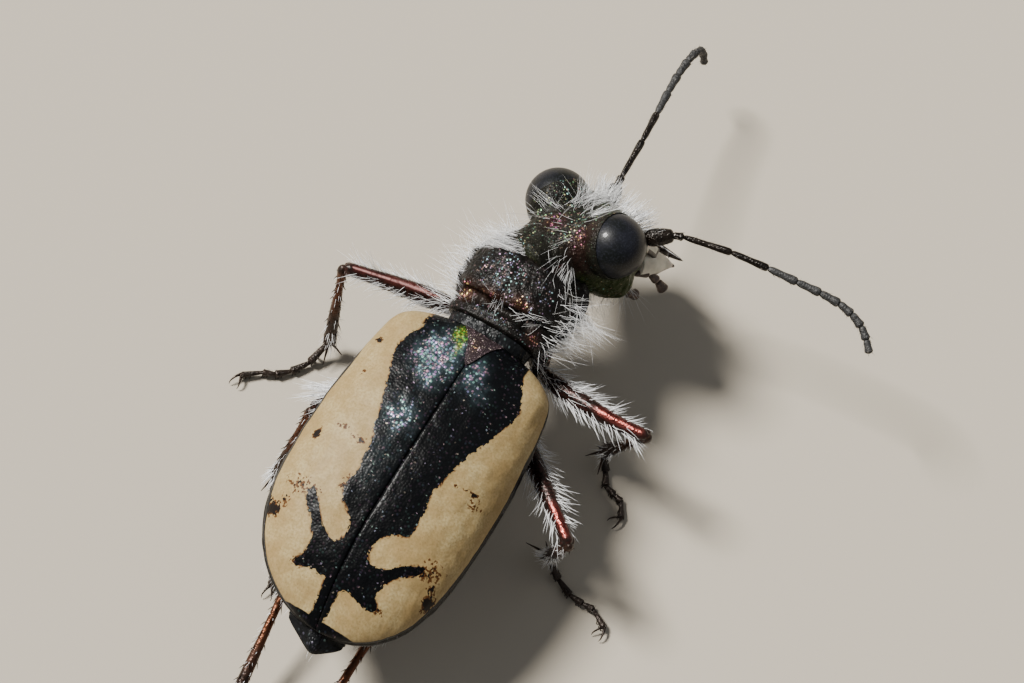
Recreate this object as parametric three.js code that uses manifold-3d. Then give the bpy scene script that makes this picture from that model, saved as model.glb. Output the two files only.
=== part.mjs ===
// A tiger beetle, standing on its six feet, head raised and turned to its right.
// Millimetres, +Z up. The beetle faces -Y and its left side is +X.
// The body's own frame has x to the left, y to the rear and z up, with its origin on the
// midline at the base of the wing cases, level with their side margins.

import * as THREE from 'three';
import { mergeVertices } from 'three/addons/utils/BufferGeometryUtils.js';
import Module from 'manifold-3d';

const wasm = await Module();
wasm.setup();

// Driving sizes
const GAP = 0.3;                 // between neighbouring pieces
const ELYTRA_LENGTH = 11.1;
const ELYTRA_HALF_WIDTH = 3.54;
const ELYTRON_THICKNESS = 0.5;
const BELLY_DEPTH = 1.55;        // below the side margins
const TAIL_REACH = 0.6;          // abdomen tip beyond the wing cases
const THORAX_REAR = 4.35;        // hind edge of the thorax under the wing cases
const THIN_RADIUS = 0.26;        // least radius of feet and feelers
const FOOT_HEIGHT = 0.22;        // axis of the feet above the floor

// Pose
const BODY_HEIGHT = 5.0;
const BODY_PITCH = 5;            // head end up
const BODY_PLACE = [1.84, -2.32];  // x and y of the body frame's origin
const PROTHORAX_AT = [-0.05, -2.05, 0.02];
const PROTHORAX_TURN = { yaw: 0, pitch: 2, roll: 12 };
const HEAD_AT = [-0.76, -5.38, 0];
const HEAD_TURN = { yaw: 34, pitch: 23, roll: 37.5 };

const DEGREE = Math.PI / 180;
const { sin, cos, sqrt, abs, min, max, hypot } = Math;
const clamp01 = (x) => min(1, max(0, x));
const mix = (a, b, t) => a + (b - a) * t;

// Value at x on a smooth line through [x, value] pairs
function along(pairs, x) {
  if (x <= pairs[0][0]) return pairs[0][1];
  for (let i = 1; i < pairs.length; i += 1) {
    const [x0, y0] = pairs[i - 1];
    const [x1, y1] = pairs[i];
    if (x <= x1) {
      const t = (x - x0) / (x1 - x0);
      return mix(y0, y1, t);
    }
  }
  return pairs[pairs.length - 1][1];
}

// Signed power, for superellipses
const bow = (value, power) => Math.sign(value) * abs(value) ** power;

// Materials
const FINISH = {
  shell: { color: 0x14181c, roughness: 0.35, metalness: 0.5 },
  cream: { color: 0xcdbfa0, roughness: 0.5, metalness: 0 },
  bronze: { color: 0x3a2418, roughness: 0.35, metalness: 0.7 },
  copper: { color: 0x5a2418, roughness: 0.3, metalness: 0.8 },
  eye: { color: 0x15161a, roughness: 0.15, metalness: 0 },
  ivory: { color: 0xcfc8b4, roughness: 0.5, metalness: 0 },
  feeler: { color: 0x2b2622, roughness: 0.6, metalness: 0 },
};
const material = Object.fromEntries(
  Object.entries(FINISH).map(([name, look]) => [name, new THREE.MeshStandardMaterial(look)]),
);

// Solids from three.js geometry
function toSolid(geometry) {
  const bare = geometry.clone();
  bare.deleteAttribute('normal');
  bare.deleteAttribute('uv');
  const merged = mergeVertices(bare, 1e-5);
  const source = merged.index.array;
  const kept = [];
  for (let i = 0; i < source.length; i += 3) {
    const [a, b, c] = [source[i], source[i + 1], source[i + 2]];
    if (a !== b && b !== c && c !== a) kept.push(a, b, c);
  }
  const positions = Float32Array.from(merged.attributes.position.array);
  if (signedVolume(positions, kept) < 0) {
    for (let i = 0; i < kept.length; i += 3) {
      [kept[i + 1], kept[i + 2]] = [kept[i + 2], kept[i + 1]];
    }
  }
  const mesh = new wasm.Mesh({
    numProp: 3, vertProperties: positions, triVerts: Uint32Array.from(kept),
  });
  return new wasm.Manifold(mesh);
}

function signedVolume(positions, triangles) {
  let sum = 0;
  const point = (k) => new THREE.Vector3().fromArray(positions, k * 3);
  for (let i = 0; i < triangles.length; i += 3) {
    const [a, b, c] = [point(triangles[i]), point(triangles[i + 1]), point(triangles[i + 2])];
    sum += a.dot(b.cross(c)) / 6;
  }
  return sum;
}

function toGeometry(solid) {
  const pieces = solid.decompose();
  pieces.sort((a, b) => b.volume() - a.volume());
  const mesh = pieces[0].getMesh();
  const geometry = new THREE.BufferGeometry();
  geometry.setAttribute('position', new THREE.BufferAttribute(Float32Array.from(mesh.vertProperties), 3));
  geometry.setIndex(new THREE.BufferAttribute(Uint32Array.from(mesh.triVerts), 1));
  return geometry;
}

const union = (geometries) => geometries.map(toSolid).reduce((all, one) => all.add(one));

// A closed tube of sections: section(v, angle) gives a point, v from 0 to 1 along it.
// Angle 0 is the top of a section and a quarter turn is its left side.
function loft(section, sides, steps) {
  const geometry = new THREE.CylinderGeometry(1, 1, 1, sides, steps);
  const position = geometry.attributes.position;
  for (let i = 0; i < position.count; i += 1) {
    const [x, y, z] = [position.getX(i), position.getY(i), position.getZ(i)];
    const v = clamp01(y + 0.5);
    const spread = hypot(x, z);
    const angle = Math.atan2(x, z);
    const rim = section(v, angle);
    const heart = section(v, 0).map((value, k) => mix(value, section(v, Math.PI)[k], 0.5));
    position.setXYZ(i, ...rim.map((value, k) => mix(heart[k], value, spread > 0.5 ? 1 : 0)));
  }
  return geometry;
}

// A lathed piece along +Y from pairs [distance, radius]
function lathe(profile, sides) {
  const last = profile[profile.length - 1];
  const points = [[profile[0][0], 0], ...profile, [last[0], 0]];
  return new THREE.LatheGeometry(points.map(([at, radius]) => new THREE.Vector2(radius, at)), sides);
}

// Move a +Y piece so that it runs from one point towards another
function aim(geometry, from, to) {
  const start = new THREE.Vector3(...from);
  const way = new THREE.Vector3(...to).sub(start).normalize();
  const turn = new THREE.Quaternion().setFromUnitVectors(new THREE.Vector3(0, 1, 0), way);
  return geometry.clone().applyQuaternion(turn).translate(...from);
}

const distance = (a, b) => hypot(...a.map((value, k) => b[k] - value));
const between = (a, b, t) => a.map((value, k) => mix(value, b[k], t));

// Groups that carry the body, the prothorax and the head
function turnedGroup({ yaw, pitch, roll }, place) {
  const group = new THREE.Group();
  group.rotation.set(pitch * DEGREE, roll * DEGREE, -yaw * DEGREE, 'ZXY');
  group.position.set(...place);
  group.updateMatrixWorld(true);
  return group;
}

const beetle = new THREE.Group();
const body = turnedGroup({ yaw: 0, pitch: -BODY_PITCH, roll: 0 }, [...BODY_PLACE, BODY_HEIGHT]);
const prothoraxGroup = turnedGroup(PROTHORAX_TURN, PROTHORAX_AT);
const headGroup = turnedGroup(HEAD_TURN, HEAD_AT);
beetle.add(body);
body.add(prothoraxGroup, headGroup);
beetle.updateMatrixWorld(true);

// A point of the body's frame in the model's
const fromBody = (point) => body.localToWorld(new THREE.Vector3(...point)).toArray();

function addMesh(parent, name, geometry, look) {
  const mesh = new THREE.Mesh(geometry, material[look]);
  mesh.name = name;
  parent.add(mesh);
  return mesh;
}

// Wing cases: half width, height and sideways bend at the fraction t from base to tip
const WIDEST = 0.48;
const SHOULDER = 0.1;
function elytraHalfWidth(t) {
  if (t > WIDEST) {
    const rear = (t - WIDEST) / (1 - WIDEST);
    return ELYTRA_HALF_WIDTH * sqrt(max(0, 1 - rear ** 3));
  }
  const front = (WIDEST - t) / WIDEST;
  const round = 0.45 + 0.55 * sqrt(1 - clamp01(1 - t / SHOULDER) ** 2);
  return ELYTRA_HALF_WIDTH * (1 - 0.2 * front ** 2) * round;
}
const ELYTRA_HEIGHTS = [
  [0, 0.95], [0.04, 1.2], [0.15, 1.6], [0.3, 1.87], [0.5, 2.0],
  [0.7, 1.8], [0.85, 1.35], [0.95, 0.75], [1, 0.35],
];
const elytraHeight = (t) => along(ELYTRA_HEIGHTS, t);
const rearBend = (t) => -0.38 * (max(0, t - 0.6) / 0.4) ** 2;
const DOME_POWER = 2 / 2.3;

function elytronPoint(side, t, across, depth) {
  const angle = across * Math.PI / 2;
  const width = max(0.15, elytraHalfWidth(t) - depth);
  const height = max(0.04, elytraHeight(t) - depth);
  const inner = GAP / 2;
  return [
    rearBend(t) + side * (inner + (width - inner) * sin(angle) ** DOME_POWER),
    t * ELYTRA_LENGTH,
    height * cos(angle) ** DOME_POWER,
  ];
}

function elytronGeometry(side) {
  const geometry = new THREE.BoxGeometry(1, 1, 1, 9, 18, 1);
  const position = geometry.attributes.position;
  for (let i = 0; i < position.count; i += 1) {
    const across = position.getX(i) + 0.5;
    const v = position.getY(i) + 0.5;
    const t = 0.995 * (v - 0.07 * sin(2 * Math.PI * v));
    const depth = position.getZ(i) > 0 ? 0 : ELYTRON_THICKNESS;
    position.setXYZ(i, ...elytronPoint(side, t, across, depth));
  }
  return geometry;
}

// Scutellum: the small triangle between the bases of the wing cases
const SCUTELLUM = { halfWidth: 0.72, length: 1.2, thickness: 0.5 };
function scutellumGeometry(margin) {
  const outline = new THREE.Shape();
  const { halfWidth, length, thickness } = SCUTELLUM;
  outline.moveTo(-halfWidth - margin * 1.3, -margin);
  outline.lineTo(halfWidth + margin * 1.3, -margin);
  outline.quadraticCurveTo(halfWidth * 0.45 + margin, length * 0.35, 0.03 + margin, length + margin * 1.5);
  outline.lineTo(-0.03 - margin, length + margin * 1.5);
  outline.quadraticCurveTo(-halfWidth * 0.45 - margin, length * 0.35, -halfWidth - margin * 1.3, -margin);
  const depth = thickness + margin * 8;
  const plate = new THREE.ExtrudeGeometry(outline, { depth, bevelEnabled: false, curveSegments: 4 });
  const slope = Math.atan2(elytraHeight(0.11) - elytraHeight(0), length);
  return plate.translate(0, 0, -depth / 2).rotateX(slope)
    .translate(0, 0.05, elytraHeight(0) - thickness / 2 + 0.02);
}

// Under-body: a core below the wing cases, a shelf under their margins and a keel-less belly
function underBodySection(y, angle, size) {
  const t = clamp01(y / ELYTRA_LENGTH);
  const cover = ELYTRON_THICKNESS + GAP + 0.05;
  const top = elytraHeight(t) - cover;
  const shelf = min(-GAP, top - 0.1);
  const inner = max(0.3, elytraHalfWidth(t) - cover) * size.narrow;
  const outer = max(0.35, size.outer);
  const side = sin(angle) < 0 ? -1 : 1;
  const turn = abs(angle) / Math.PI;
  let x;
  let z;
  if (turn < 0.45) {
    const a = (turn / 0.45) * Math.PI / 2;
    x = inner * sin(a) ** DOME_POWER;
    z = shelf + (top - shelf) * cos(a) ** DOME_POWER;
  } else {
    const a = ((turn - 0.45) / 0.55) * Math.PI / 2;
    x = outer * max(0, cos(a)) ** 0.9;
    z = shelf - 0.12 - (size.depth + shelf - 0.12) * sin(a) ** 0.85;
  }
  return [rearBend(t) + side * x + size.shift, y, z];
}

const THORAX_WIDTHS = [[0, 1.25], [0.5, 1.8], [1.2, 2.15], [2.4, 2.4], [THORAX_REAR, 2.65]];
const THORAX_DEPTHS = [[0, 1.45], [1.0, 1.9], [3.0, 2.05], [THORAX_REAR, 2.0]];
const THORAX_FRONT = -0.05;
function pterothoraxGeometry(margin) {
  return loft((v, angle) => {
    const y = mix(THORAX_FRONT - margin, THORAX_REAR + margin, v);
    const size = {
      narrow: 1, outer: along(THORAX_WIDTHS, y) + margin, depth: along(THORAX_DEPTHS, y) + margin, shift: 0,
    };
    return underBodySection(y, angle, size);
  }, 24, 7);
}

const ABDOMEN_START = THORAX_REAR + GAP;
function abdomenGeometry() {
  const end = ELYTRA_LENGTH + TAIL_REACH;
  return loft((v, angle) => {
    const y = mix(ABDOMEN_START, end, v - 0.05 * sin(2 * Math.PI * v));
    const t = y / ELYTRA_LENGTH;
    const tail = clamp01((y - 9.6) / (end - 9.6));
    const wide = min(elytraHalfWidth(min(t, 0.97)) - 0.4, 2.9);
    const outer = t < 0.9 ? wide : min(wide, mix(2.1, 0.3, tail ** 1.2));
    const depth = mix(BELLY_DEPTH, 0.85, clamp01((y - 5) / 6.5) ** 2);
    const shift = -0.18 * clamp01((t - 1) / 0.07);
    return underBodySection(y, angle, { narrow: mix(1, 0.9, tail), outer, depth, shift });
  }, 20, 12);
}

// Prothorax: a barrel with a collar in front and a rim behind, each behind a cross groove
const PROTHORAX = { front: -1.72, rear: 1.7 };
const PRONOTUM_WIDTHS = [
  [-1.72, 1.25], [-1.45, 1.45], [-1.18, 1.5], [-0.75, 1.83], [-0.2, 1.95], [0.4, 1.93],
  [0.9, 1.83], [1.15, 1.7], [1.4, 1.76], [1.7, 1.68],
];
const PRONOTUM_TOPS = [
  [-1.72, 0.95], [-1.45, 1.12], [-1.18, 1.02], [-0.75, 1.27], [-0.2, 1.38], [0.4, 1.37],
  [0.9, 1.24], [1.15, 1.02], [1.4, 1.08], [1.7, 0.95],
];
const PRONOTUM_BOTTOMS = [[-1.72, 1.15], [-0.8, 1.45], [0.6, 1.5], [1.7, 1.3]];
const PLEURON_WIDTHS = [
  [-1.72, 1.3], [-1.4, 1.85], [-0.9, 2.2], [-0.2, 2.28], [0.5, 2.15], [1.1, 1.85], [1.7, 1.6],
];
function prothoraxGeometry(margin) {
  return loft((v, angle) => {
    const at = mix(PROTHORAX.front, PROTHORAX.rear, v);
    const upper = cos(angle) > -0.01;
    const half = along(upper ? PRONOTUM_WIDTHS : PLEURON_WIDTHS, at) + margin;
    const height = along(upper ? PRONOTUM_TOPS : PRONOTUM_BOTTOMS, at) + margin;
    const y = mix(PROTHORAX.front - margin, PROTHORAX.rear + margin, v);
    return [half * bow(sin(angle), 0.85), y, height * bow(cos(angle), 0.85)];
  }, 22, 12);
}

// Head: origin midway between the eyes
const HEAD_FRONT = -1.95;
const HEAD_REAR = 2.1;
const HEAD_WIDTHS = [
  [-1.95, 0.95], [-1.6, 1.2], [-1.1, 1.4], [-0.5, 1.58], [0, 1.64], [0.6, 1.6], [1.1, 1.45],
  [1.6, 1.22], [2.1, 1.05],
];
const HEAD_TOPS = [
  [-1.95, -0.62], [-1.6, -0.12], [-1.1, 0.45], [-0.5, 0.74], [0, 0.78], [0.6, 0.68], [1.1, 0.5],
  [1.6, 0.3], [2.1, 0.15],
];
const HEAD_BOTTOMS = [
  [-1.95, -1.5], [-1.5, -2.0], [-0.9, -2.3], [0, -2.35], [0.8, -2.0], [1.5, -1.6], [2.1, -1.3],
];
function headGeometry(margin) {
  return loft((v, angle) => {
    const y = mix(HEAD_FRONT - margin, HEAD_REAR, v);
    const [high, low] = [along(HEAD_TOPS, y) + margin, along(HEAD_BOTTOMS, y) - margin];
    const half = along(HEAD_WIDTHS, y) + margin;
    const dip = 0.22 * max(0, cos(angle)) ** 8 * clamp01(1 - abs(y) / 1.6);
    return [
      half * bow(sin(angle), 0.72),
      y,
      mix(low, high, 0.5 + 0.5 * bow(cos(angle), 0.72)) - dip,
    ];
  }, 24, 12);
}

// Eyes in the head's frame, each as its side of the photo shows it
const EYES = {
  left: { centre: [1.6, 0.06, 0.11], radius: 1.12 },
  right: { centre: [-1.52, 0.03, -0.08], radius: 1.1 },
};
const EYE_COLUMNS = 18;
function eyeGeometry(name, margin) {
  const { centre, radius } = EYES[name];
  const ball = new THREE.SphereGeometry(radius + margin, EYE_COLUMNS, 10);
  return ball.rotateZ(Math.PI / 2).translate(...centre);
}

// Labrum: a curved lip plate in front of the head
function labrumGeometry(margin) {
  const plate = new THREE.BoxGeometry(1, 1, 1, 10, 3, 1);
  const position = plate.attributes.position;
  for (let i = 0; i < position.count; i += 1) {
    const across = 2 * position.getX(i);
    const v = position.getY(i) + 0.5;
    const inside = position.getZ(i) > 0 ? 0 : 0.5;
    const back = HEAD_FRONT - GAP - 0.05 + 0.3 * across ** 2 + margin;
    const front = -2.95 + 0.42 * across ** 2 + 0.06 * cos(3 * Math.PI * across) - margin;
    const y = mix(back, front, v);
    const z = -0.68 - 0.62 * v - 0.28 * across ** 2 - inside * 0.8 + (inside ? -margin : margin);
    position.setXYZ(i, (0.98 - 0.12 * v + margin) * across, y + inside * 0.45, z);
  }
  return plate;
}

// A horn along a smooth curve through points, its radius from r0 to r1
function horn(points, r0, r1, sides, steps, squeeze = 1) {
  const curve = new THREE.CatmullRomCurve3(points.map((p) => new THREE.Vector3(...p)));
  const frames = curve.computeFrenetFrames(steps, false);
  return loft((v, angle) => {
    const k = Math.round(v * steps);
    const centre = curve.getPointAt(v);
    const radius = mix(r0, r1, v ** 1.3);
    return centre
      .addScaledVector(frames.normals[k], radius * cos(angle))
      .addScaledVector(frames.binormals[k], radius * squeeze * sin(angle))
      .toArray();
  }, sides, steps);
}

const MANDIBLES = {
  left: [[1.15, -1.95, -1.55], [1.42, -2.45, -1.75], [0.9, -3.2, -1.98], [-0.82, -3.73, -2.13]],
  right: [[-1.15, -1.95, -1.6], [-1.45, -2.4, -1.92], [-1.28, -3.0, -2.25], [-0.42, -3.45, -2.5]],
};
function mandibleSolid(name) {
  const path = MANDIBLES[name];
  const side = name === 'left' ? 1 : -1;
  const pieces = [horn(path, 0.4, 0.06, 8, 8)];
  for (const v of [0.5, 0.68]) {
    const curve = new THREE.CatmullRomCurve3(path.map((p) => new THREE.Vector3(...p)));
    const root = curve.getPointAt(v).toArray();
    const tip = [root[0] - side * 0.5, root[1] + 0.1, root[2] - 0.05];
    pieces.push(aim(lathe([[-0.1, 0.16], [0.45, 0.03]], 6), root, tip));
  }
  return union(pieces).subtract(toSolid(labrumGeometry(0.2))).subtract(toSolid(headGeometry(GAP)));
}

// A chain of lathed joints: each has a length and a radius, and swells towards its far end
function chain(points, radii, sides, slim = 0.75) {
  const pieces = [];
  for (let i = 0; i < radii.length; i += 1) {
    const long = distance(points[i], points[i + 1]);
    const r = radii[i];
    const sink = min(0.12, long * 0.2);
    const profile = [[-sink, r * slim * 0.9], [long * 0.8, r], [long + 0.02, r * slim]];
    pieces.push(aim(lathe(profile, sides), points[i], points[i + 1]));
  }
  return union(pieces);
}

// Points at given distances along a smooth curve
function spaced(points, lengths) {
  const curve = new THREE.CatmullRomCurve3(points.map((p) => new THREE.Vector3(...p)));
  const sum = lengths.reduce((a, b) => a + b, 0);
  const out = [curve.getPointAt(0).toArray()];
  let walked = 0;
  for (const length of lengths) {
    walked += length;
    out.push(curve.getPointAt(clamp01(walked / sum)).toArray());
  }
  return out;
}

// Palps: three short joints each, hanging forward and outward below the mandibles
const PALPS = {
  maxillary: [[0.9, -1.5, -2.25], [1.12, -1.95, -2.6], [1.12, -2.35, -2.9], [1.0, -2.75, -3.15]],
  labial: [[0.32, -1.35, -2.4], [0.4, -1.7, -2.8], [0.42, -2.05, -3.05], [0.34, -2.45, -3.2]],
};

// Antennae: eleven joints; curve points are in the beetle's frame with the body at x = y = 0
const ANTENNA_LENGTHS = [0.95, 0.32, 1.6, 1.26, 1.0, 0.81, 0.66, 0.53, 0.48, 0.45, 0.42];
const ANTENNA_RADII = [0.3, 0.26, 0.26, 0.26, 0.26, 0.26, 0.26, 0.26, 0.26, 0.26, 0.26];
const ANTENNAE = {
  left: [[-0.88, -6.7, 4.05], [-0.8, -7.81, 4.52], [-0.69, -9.71, 4.3], [-0.46, -12.3, 3.82],
    [-0.5, -13.6, 3.64], [-0.65, -14.15, 3.2], [-0.87, -14.17, 2.37]],
  right: [[-2.63, -6.05, 5.22], [-3.6, -6.65, 5.5], [-5.45, -7.05, 5.68], [-7.86, -7.31, 5.74],
    [-9.39, -7.4, 5.77], [-10.43, -7.11, 5.66], [-11.08, -6.53, 5.43]],
};

// Legs: joints in the beetle's frame with the body at x = y = 0, feet as points on the floor
const LEG_RADII = {
  front: { femur: 0.41, tibia: 0.27 },
  middle: { femur: 0.41, tibia: 0.27 },
  hind: { femur: 0.42, tibia: 0.27 },
};
const LEGS = {
  front_left: {
    trochanter: [1.3, -1.25, 3.1], knee: [5.44, 0.09, 4.48], ankle: [4.99, 1.44, 0.78],
    spurs: [[-0.2, 0.7], [-0.55, 0.05]],
    foot: [[5.28, 2.38], [5.9, 3.2], [6.7, 3.6], [7.0, 3.95]],
  },
  front_right: {
    trochanter: [-1.85, -0.8, 3.1], knee: [-6.25, -0.28, 4.6], ankle: [-5.08, -0.3, 0.78],
    spurs: [[-0.2, 0.7], [0.5, 0.35]],
    foot: [[-5.44, 0.06], [-5.69, 0.55], [-6.51, 0.78], [-6.75, 1.25]],
  },
  middle_left: {
    trochanter: [1.85, 0.95, 2.85], knee: [3.75, 4.7, 3.85], ankle: [3.95, 6.5, 0.78],
    spurs: [[-0.8, 0.1], [0.2, 0.6]],
    foot: [[3.7, 7.25], [3.05, 8.1], [2.4, 9.0], [2.1, 9.7]],
  },
  middle_right: {
    trochanter: [-1.95, 1.05, 2.85], knee: [-5.9, 4.33, 4.59], ankle: [-5.33, 3.91, 0.78],
    spurs: [[0.9, -0.1], [0.35, -0.5]],
    foot: [[-5.94, 4.24], [-6.78, 4.58], [-7.6, 4.55], [-8.2, 4.9]],
  },
  hind_left: {
    trochanter: [1.5, 4.25, 2.4], knee: [1.45, 9.6, 2.25], ankle: [0.85, 14.6, 0.78],
    spurs: [[-0.35, 0.6], [0.55, 0.25]],
    foot: [[0.85, 15.4], [1.1, 16.5], [1.45, 17.6], [1.6, 18.2]],
  },
  hind_right: {
    trochanter: [-1.5, 4.25, 2.4], knee: [-1.85, 9.6, 2.25], ankle: [-1.75, 14.5, 0.78],
    spurs: [[0.4, 0.6], [-0.55, 0.3]],
    foot: [[-1.85, 15.3], [-2.2, 16.3], [-2.7, 17.3], [-2.9, 17.9]],
  },
};
const onBody = ([x, y, z = FOOT_HEIGHT]) => [x + BODY_PLACE[0], y + BODY_PLACE[1], z];

function femurGeometry(from, to, radius) {
  const long = distance(from, to);
  const profile = [
    [GAP + 0.1, radius * 0.62], [long * 0.18, radius * 0.95], [long * 0.35, radius],
    [long * 0.6, radius * 0.85], [long * 0.85, radius * 0.66], [long * 0.96, radius * 0.72],
    [long, radius * 0.5],
  ];
  return aim(lathe(profile, 8), from, to);
}

// Tibia with its two spurs, each given by how far it reaches sideways and rearward
const SPUR_DROP = 0.42;
function tibiaSolid(knee, ankle, radius, spurs) {
  const start = between(knee, ankle, (GAP + 0.36) / distance(knee, ankle));
  const long = distance(start, ankle);
  const profile = [
    [0, radius * 0.9], [long * 0.2, radius], [long * 0.8, radius], [long - 0.05, radius * 1.15],
  ];
  const pieces = [aim(lathe(profile, 8), start, ankle)];
  for (const [sideways, rearward] of spurs) {
    const root = [ankle[0] + sideways * 0.12, ankle[1] + rearward * 0.12, ankle[2] + 0.05];
    const tip = [ankle[0] + sideways, ankle[1] + rearward, ankle[2] - SPUR_DROP];
    pieces.push(aim(lathe([[-0.05, 0.13], [distance(root, tip), 0.03]], 5), root, tip));
  }
  return union(pieces);
}

// Foot: five joints and two claws, cut flat where it stands on the floor
const FOOT_SHARES = [0.3, 0.2, 0.16, 0.12, 0.22];
function tarsusSolid(ankle, foot) {
  const first = onBody(foot[0]);
  const start = between(ankle, first, (GAP + 0.32) / distance(ankle, first));
  const route = [start, ...foot.map(onBody)];
  const points = spaced(route, FOOT_SHARES);
  const lifted = points.map((p) => [p[0], p[1], max(p[2], FOOT_HEIGHT)]);
  const joints = chain(lifted, [0.28, THIN_RADIUS, THIN_RADIUS, THIN_RADIUS, THIN_RADIUS], 6, 0.9);
  const end = lifted[5];
  const way = new THREE.Vector3(...end).sub(new THREE.Vector3(...lifted[4])).setZ(0).normalize();
  const across = new THREE.Vector3(-way.y, way.x, 0);
  let solid = joints;
  for (const side of [-1, 1]) {
    const root = [end[0] - way.x * 0.08, end[1] - way.y * 0.08, FOOT_HEIGHT];
    const middle = new THREE.Vector3(...end).addScaledVector(way, 0.3).addScaledVector(across, side * 0.18);
    const tip = new THREE.Vector3(...end).addScaledVector(way, 0.52).addScaledVector(across, side * 0.22);
    const curve = [root, [middle.x, middle.y, 0.24], [tip.x, tip.y, 0.06]];
    solid = solid.add(toSolid(horn(curve, 0.13, 0.03, 5, 4)));
  }
  const size = 60;
  const ground = new THREE.BoxGeometry(size, size, 10).translate(0, 0, -5);
  return solid.subtract(toSolid(ground));
}

// A coxa with its trochanter, clear of the thorax that carries it
function coxaSolid(hip, trochanter, radius) {
  const long = distance(hip, trochanter);
  const profile = [
    [-radius * 0.9, radius * 0.5], [-radius * 0.3, radius], [long * 0.5, radius * 0.9],
    [long * 0.85, 0.34], [long + 0.05, 0.27],
  ];
  return toSolid(aim(lathe(profile, 10), hip, trochanter));
}

// Wing cases and the scutellum between them
const notch = toSolid(scutellumGeometry(GAP));
for (const [side, name] of [[1, 'left'], [-1, 'right']]) {
  const solid = toSolid(elytronGeometry(side)).subtract(notch);
  addMesh(body, `elytron_${name}`, toGeometry(solid), 'cream');
}
addMesh(body, 'scutellum', toGeometry(toSolid(scutellumGeometry(0))), 'shell');

// Trunk
addMesh(body, 'pterothorax', toGeometry(toSolid(pterothoraxGeometry(0))), 'bronze');
addMesh(body, 'abdomen', toGeometry(toSolid(abdomenGeometry())), 'shell');
addMesh(prothoraxGroup, 'prothorax', toGeometry(toSolid(prothoraxGeometry(0))), 'bronze');

// Head, with sockets for the eyes and a neck that ends clear of the prothorax
const clearProthorax = prothoraxGeometry(GAP).applyMatrix4(prothoraxGroup.matrix)
  .applyMatrix4(headGroup.matrix.clone().invert());
let head = toSolid(headGeometry(0)).subtract(toSolid(clearProthorax));
for (const name of ['left', 'right']) {
  head = head.subtract(toSolid(eyeGeometry(name, GAP)));
}
addMesh(headGroup, 'head', toGeometry(head), 'bronze');
addMesh(headGroup, 'eye_left', toGeometry(toSolid(eyeGeometry('left', 0))), 'eye');
addMesh(headGroup, 'eye_right', toGeometry(toSolid(eyeGeometry('right', 0))), 'eye');
const labrum = toSolid(labrumGeometry(0)).subtract(toSolid(headGeometry(GAP)));
addMesh(headGroup, 'labrum', toGeometry(labrum), 'ivory');
for (const name of ['left', 'right']) {
  addMesh(headGroup, `mandible_${name}`, toGeometry(mandibleSolid(name)), 'ivory');
}
for (const [name, path] of Object.entries(PALPS)) {
  for (const [side, hand] of [[1, 'left'], [-1, 'right']]) {
    const points = path.map(([x, y, z]) => [side * x, y, z]);
    const palp = chain(points, [0.25, 0.25, 0.25], 6).subtract(toSolid(headGeometry(GAP)));
    addMesh(headGroup, `${name}_palp_${hand}`, toGeometry(palp), 'feeler');
  }
}

// Antennae, each clear of the head and of its eye
for (const name of ['left', 'right']) {
  const points = spaced(ANTENNAE[name].map(onBody), ANTENNA_LENGTHS);
  let antenna = chain(points, ANTENNA_RADII, 6);
  for (const clear of [headGeometry(GAP), eyeGeometry(name, GAP)]) {
    antenna = antenna.subtract(toSolid(clear.applyMatrix4(headGroup.matrixWorld)));
  }
  addMesh(beetle, `antenna_${name}`, toGeometry(antenna), 'feeler');
}

// Legs
const HIPS = {
  front_left: [0.75, -2.3, -1.35], front_right: [-0.95, -2.35, -1.2],
  middle_left: [1.1, 0.95, -1.9], middle_right: [-1.1, 0.95, -1.9],
  hind_left: [0.75, 3.6, -2.05], hind_right: [-0.75, 3.6, -2.05],
};
const clearThoraxes = [
  toSolid(prothoraxGeometry(GAP).applyMatrix4(prothoraxGroup.matrixWorld)),
  toSolid(pterothoraxGeometry(GAP).applyMatrix4(body.matrixWorld)),
];
for (const [name, leg] of Object.entries(LEGS)) {
  const [pair] = name.split('_');
  const size = LEG_RADII[pair];
  const trochanter = onBody(leg.trochanter);
  const knee = onBody(leg.knee);
  const ankle = onBody(leg.ankle);
  let coxa = coxaSolid(fromBody(HIPS[name]), trochanter, pair === 'hind' ? 0.75 : 0.7);
  for (const clear of clearThoraxes) {
    coxa = coxa.subtract(clear);
  }
  addMesh(beetle, `${name}_coxa`, toGeometry(coxa), 'bronze');
  addMesh(beetle, `${name}_femur`, femurGeometry(trochanter, knee, size.femur), 'copper');
  addMesh(beetle, `${name}_tibia`, toGeometry(tibiaSolid(knee, ankle, size.tibia, leg.spurs)), 'copper');
  addMesh(beetle, `${name}_tarsus`, toGeometry(tarsusSolid(ankle, leg.foot)), 'feeler');
}

export default beetle;
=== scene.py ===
"""The looks of the tiger beetle: its skins, wing-case pattern, eyes, jaws, joints and white bristles.

Sizes are in millimetres and are the same as in the part's source. The body's own frame has x to
the left, y to the rear and z up, with its origin at the base of the wing cases. Meshes are put in
the model's frame, in metres, as they are made.
"""
import functools
import itertools
import math

import bpy
import numpy as np
from mathutils import Matrix, Vector


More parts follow.
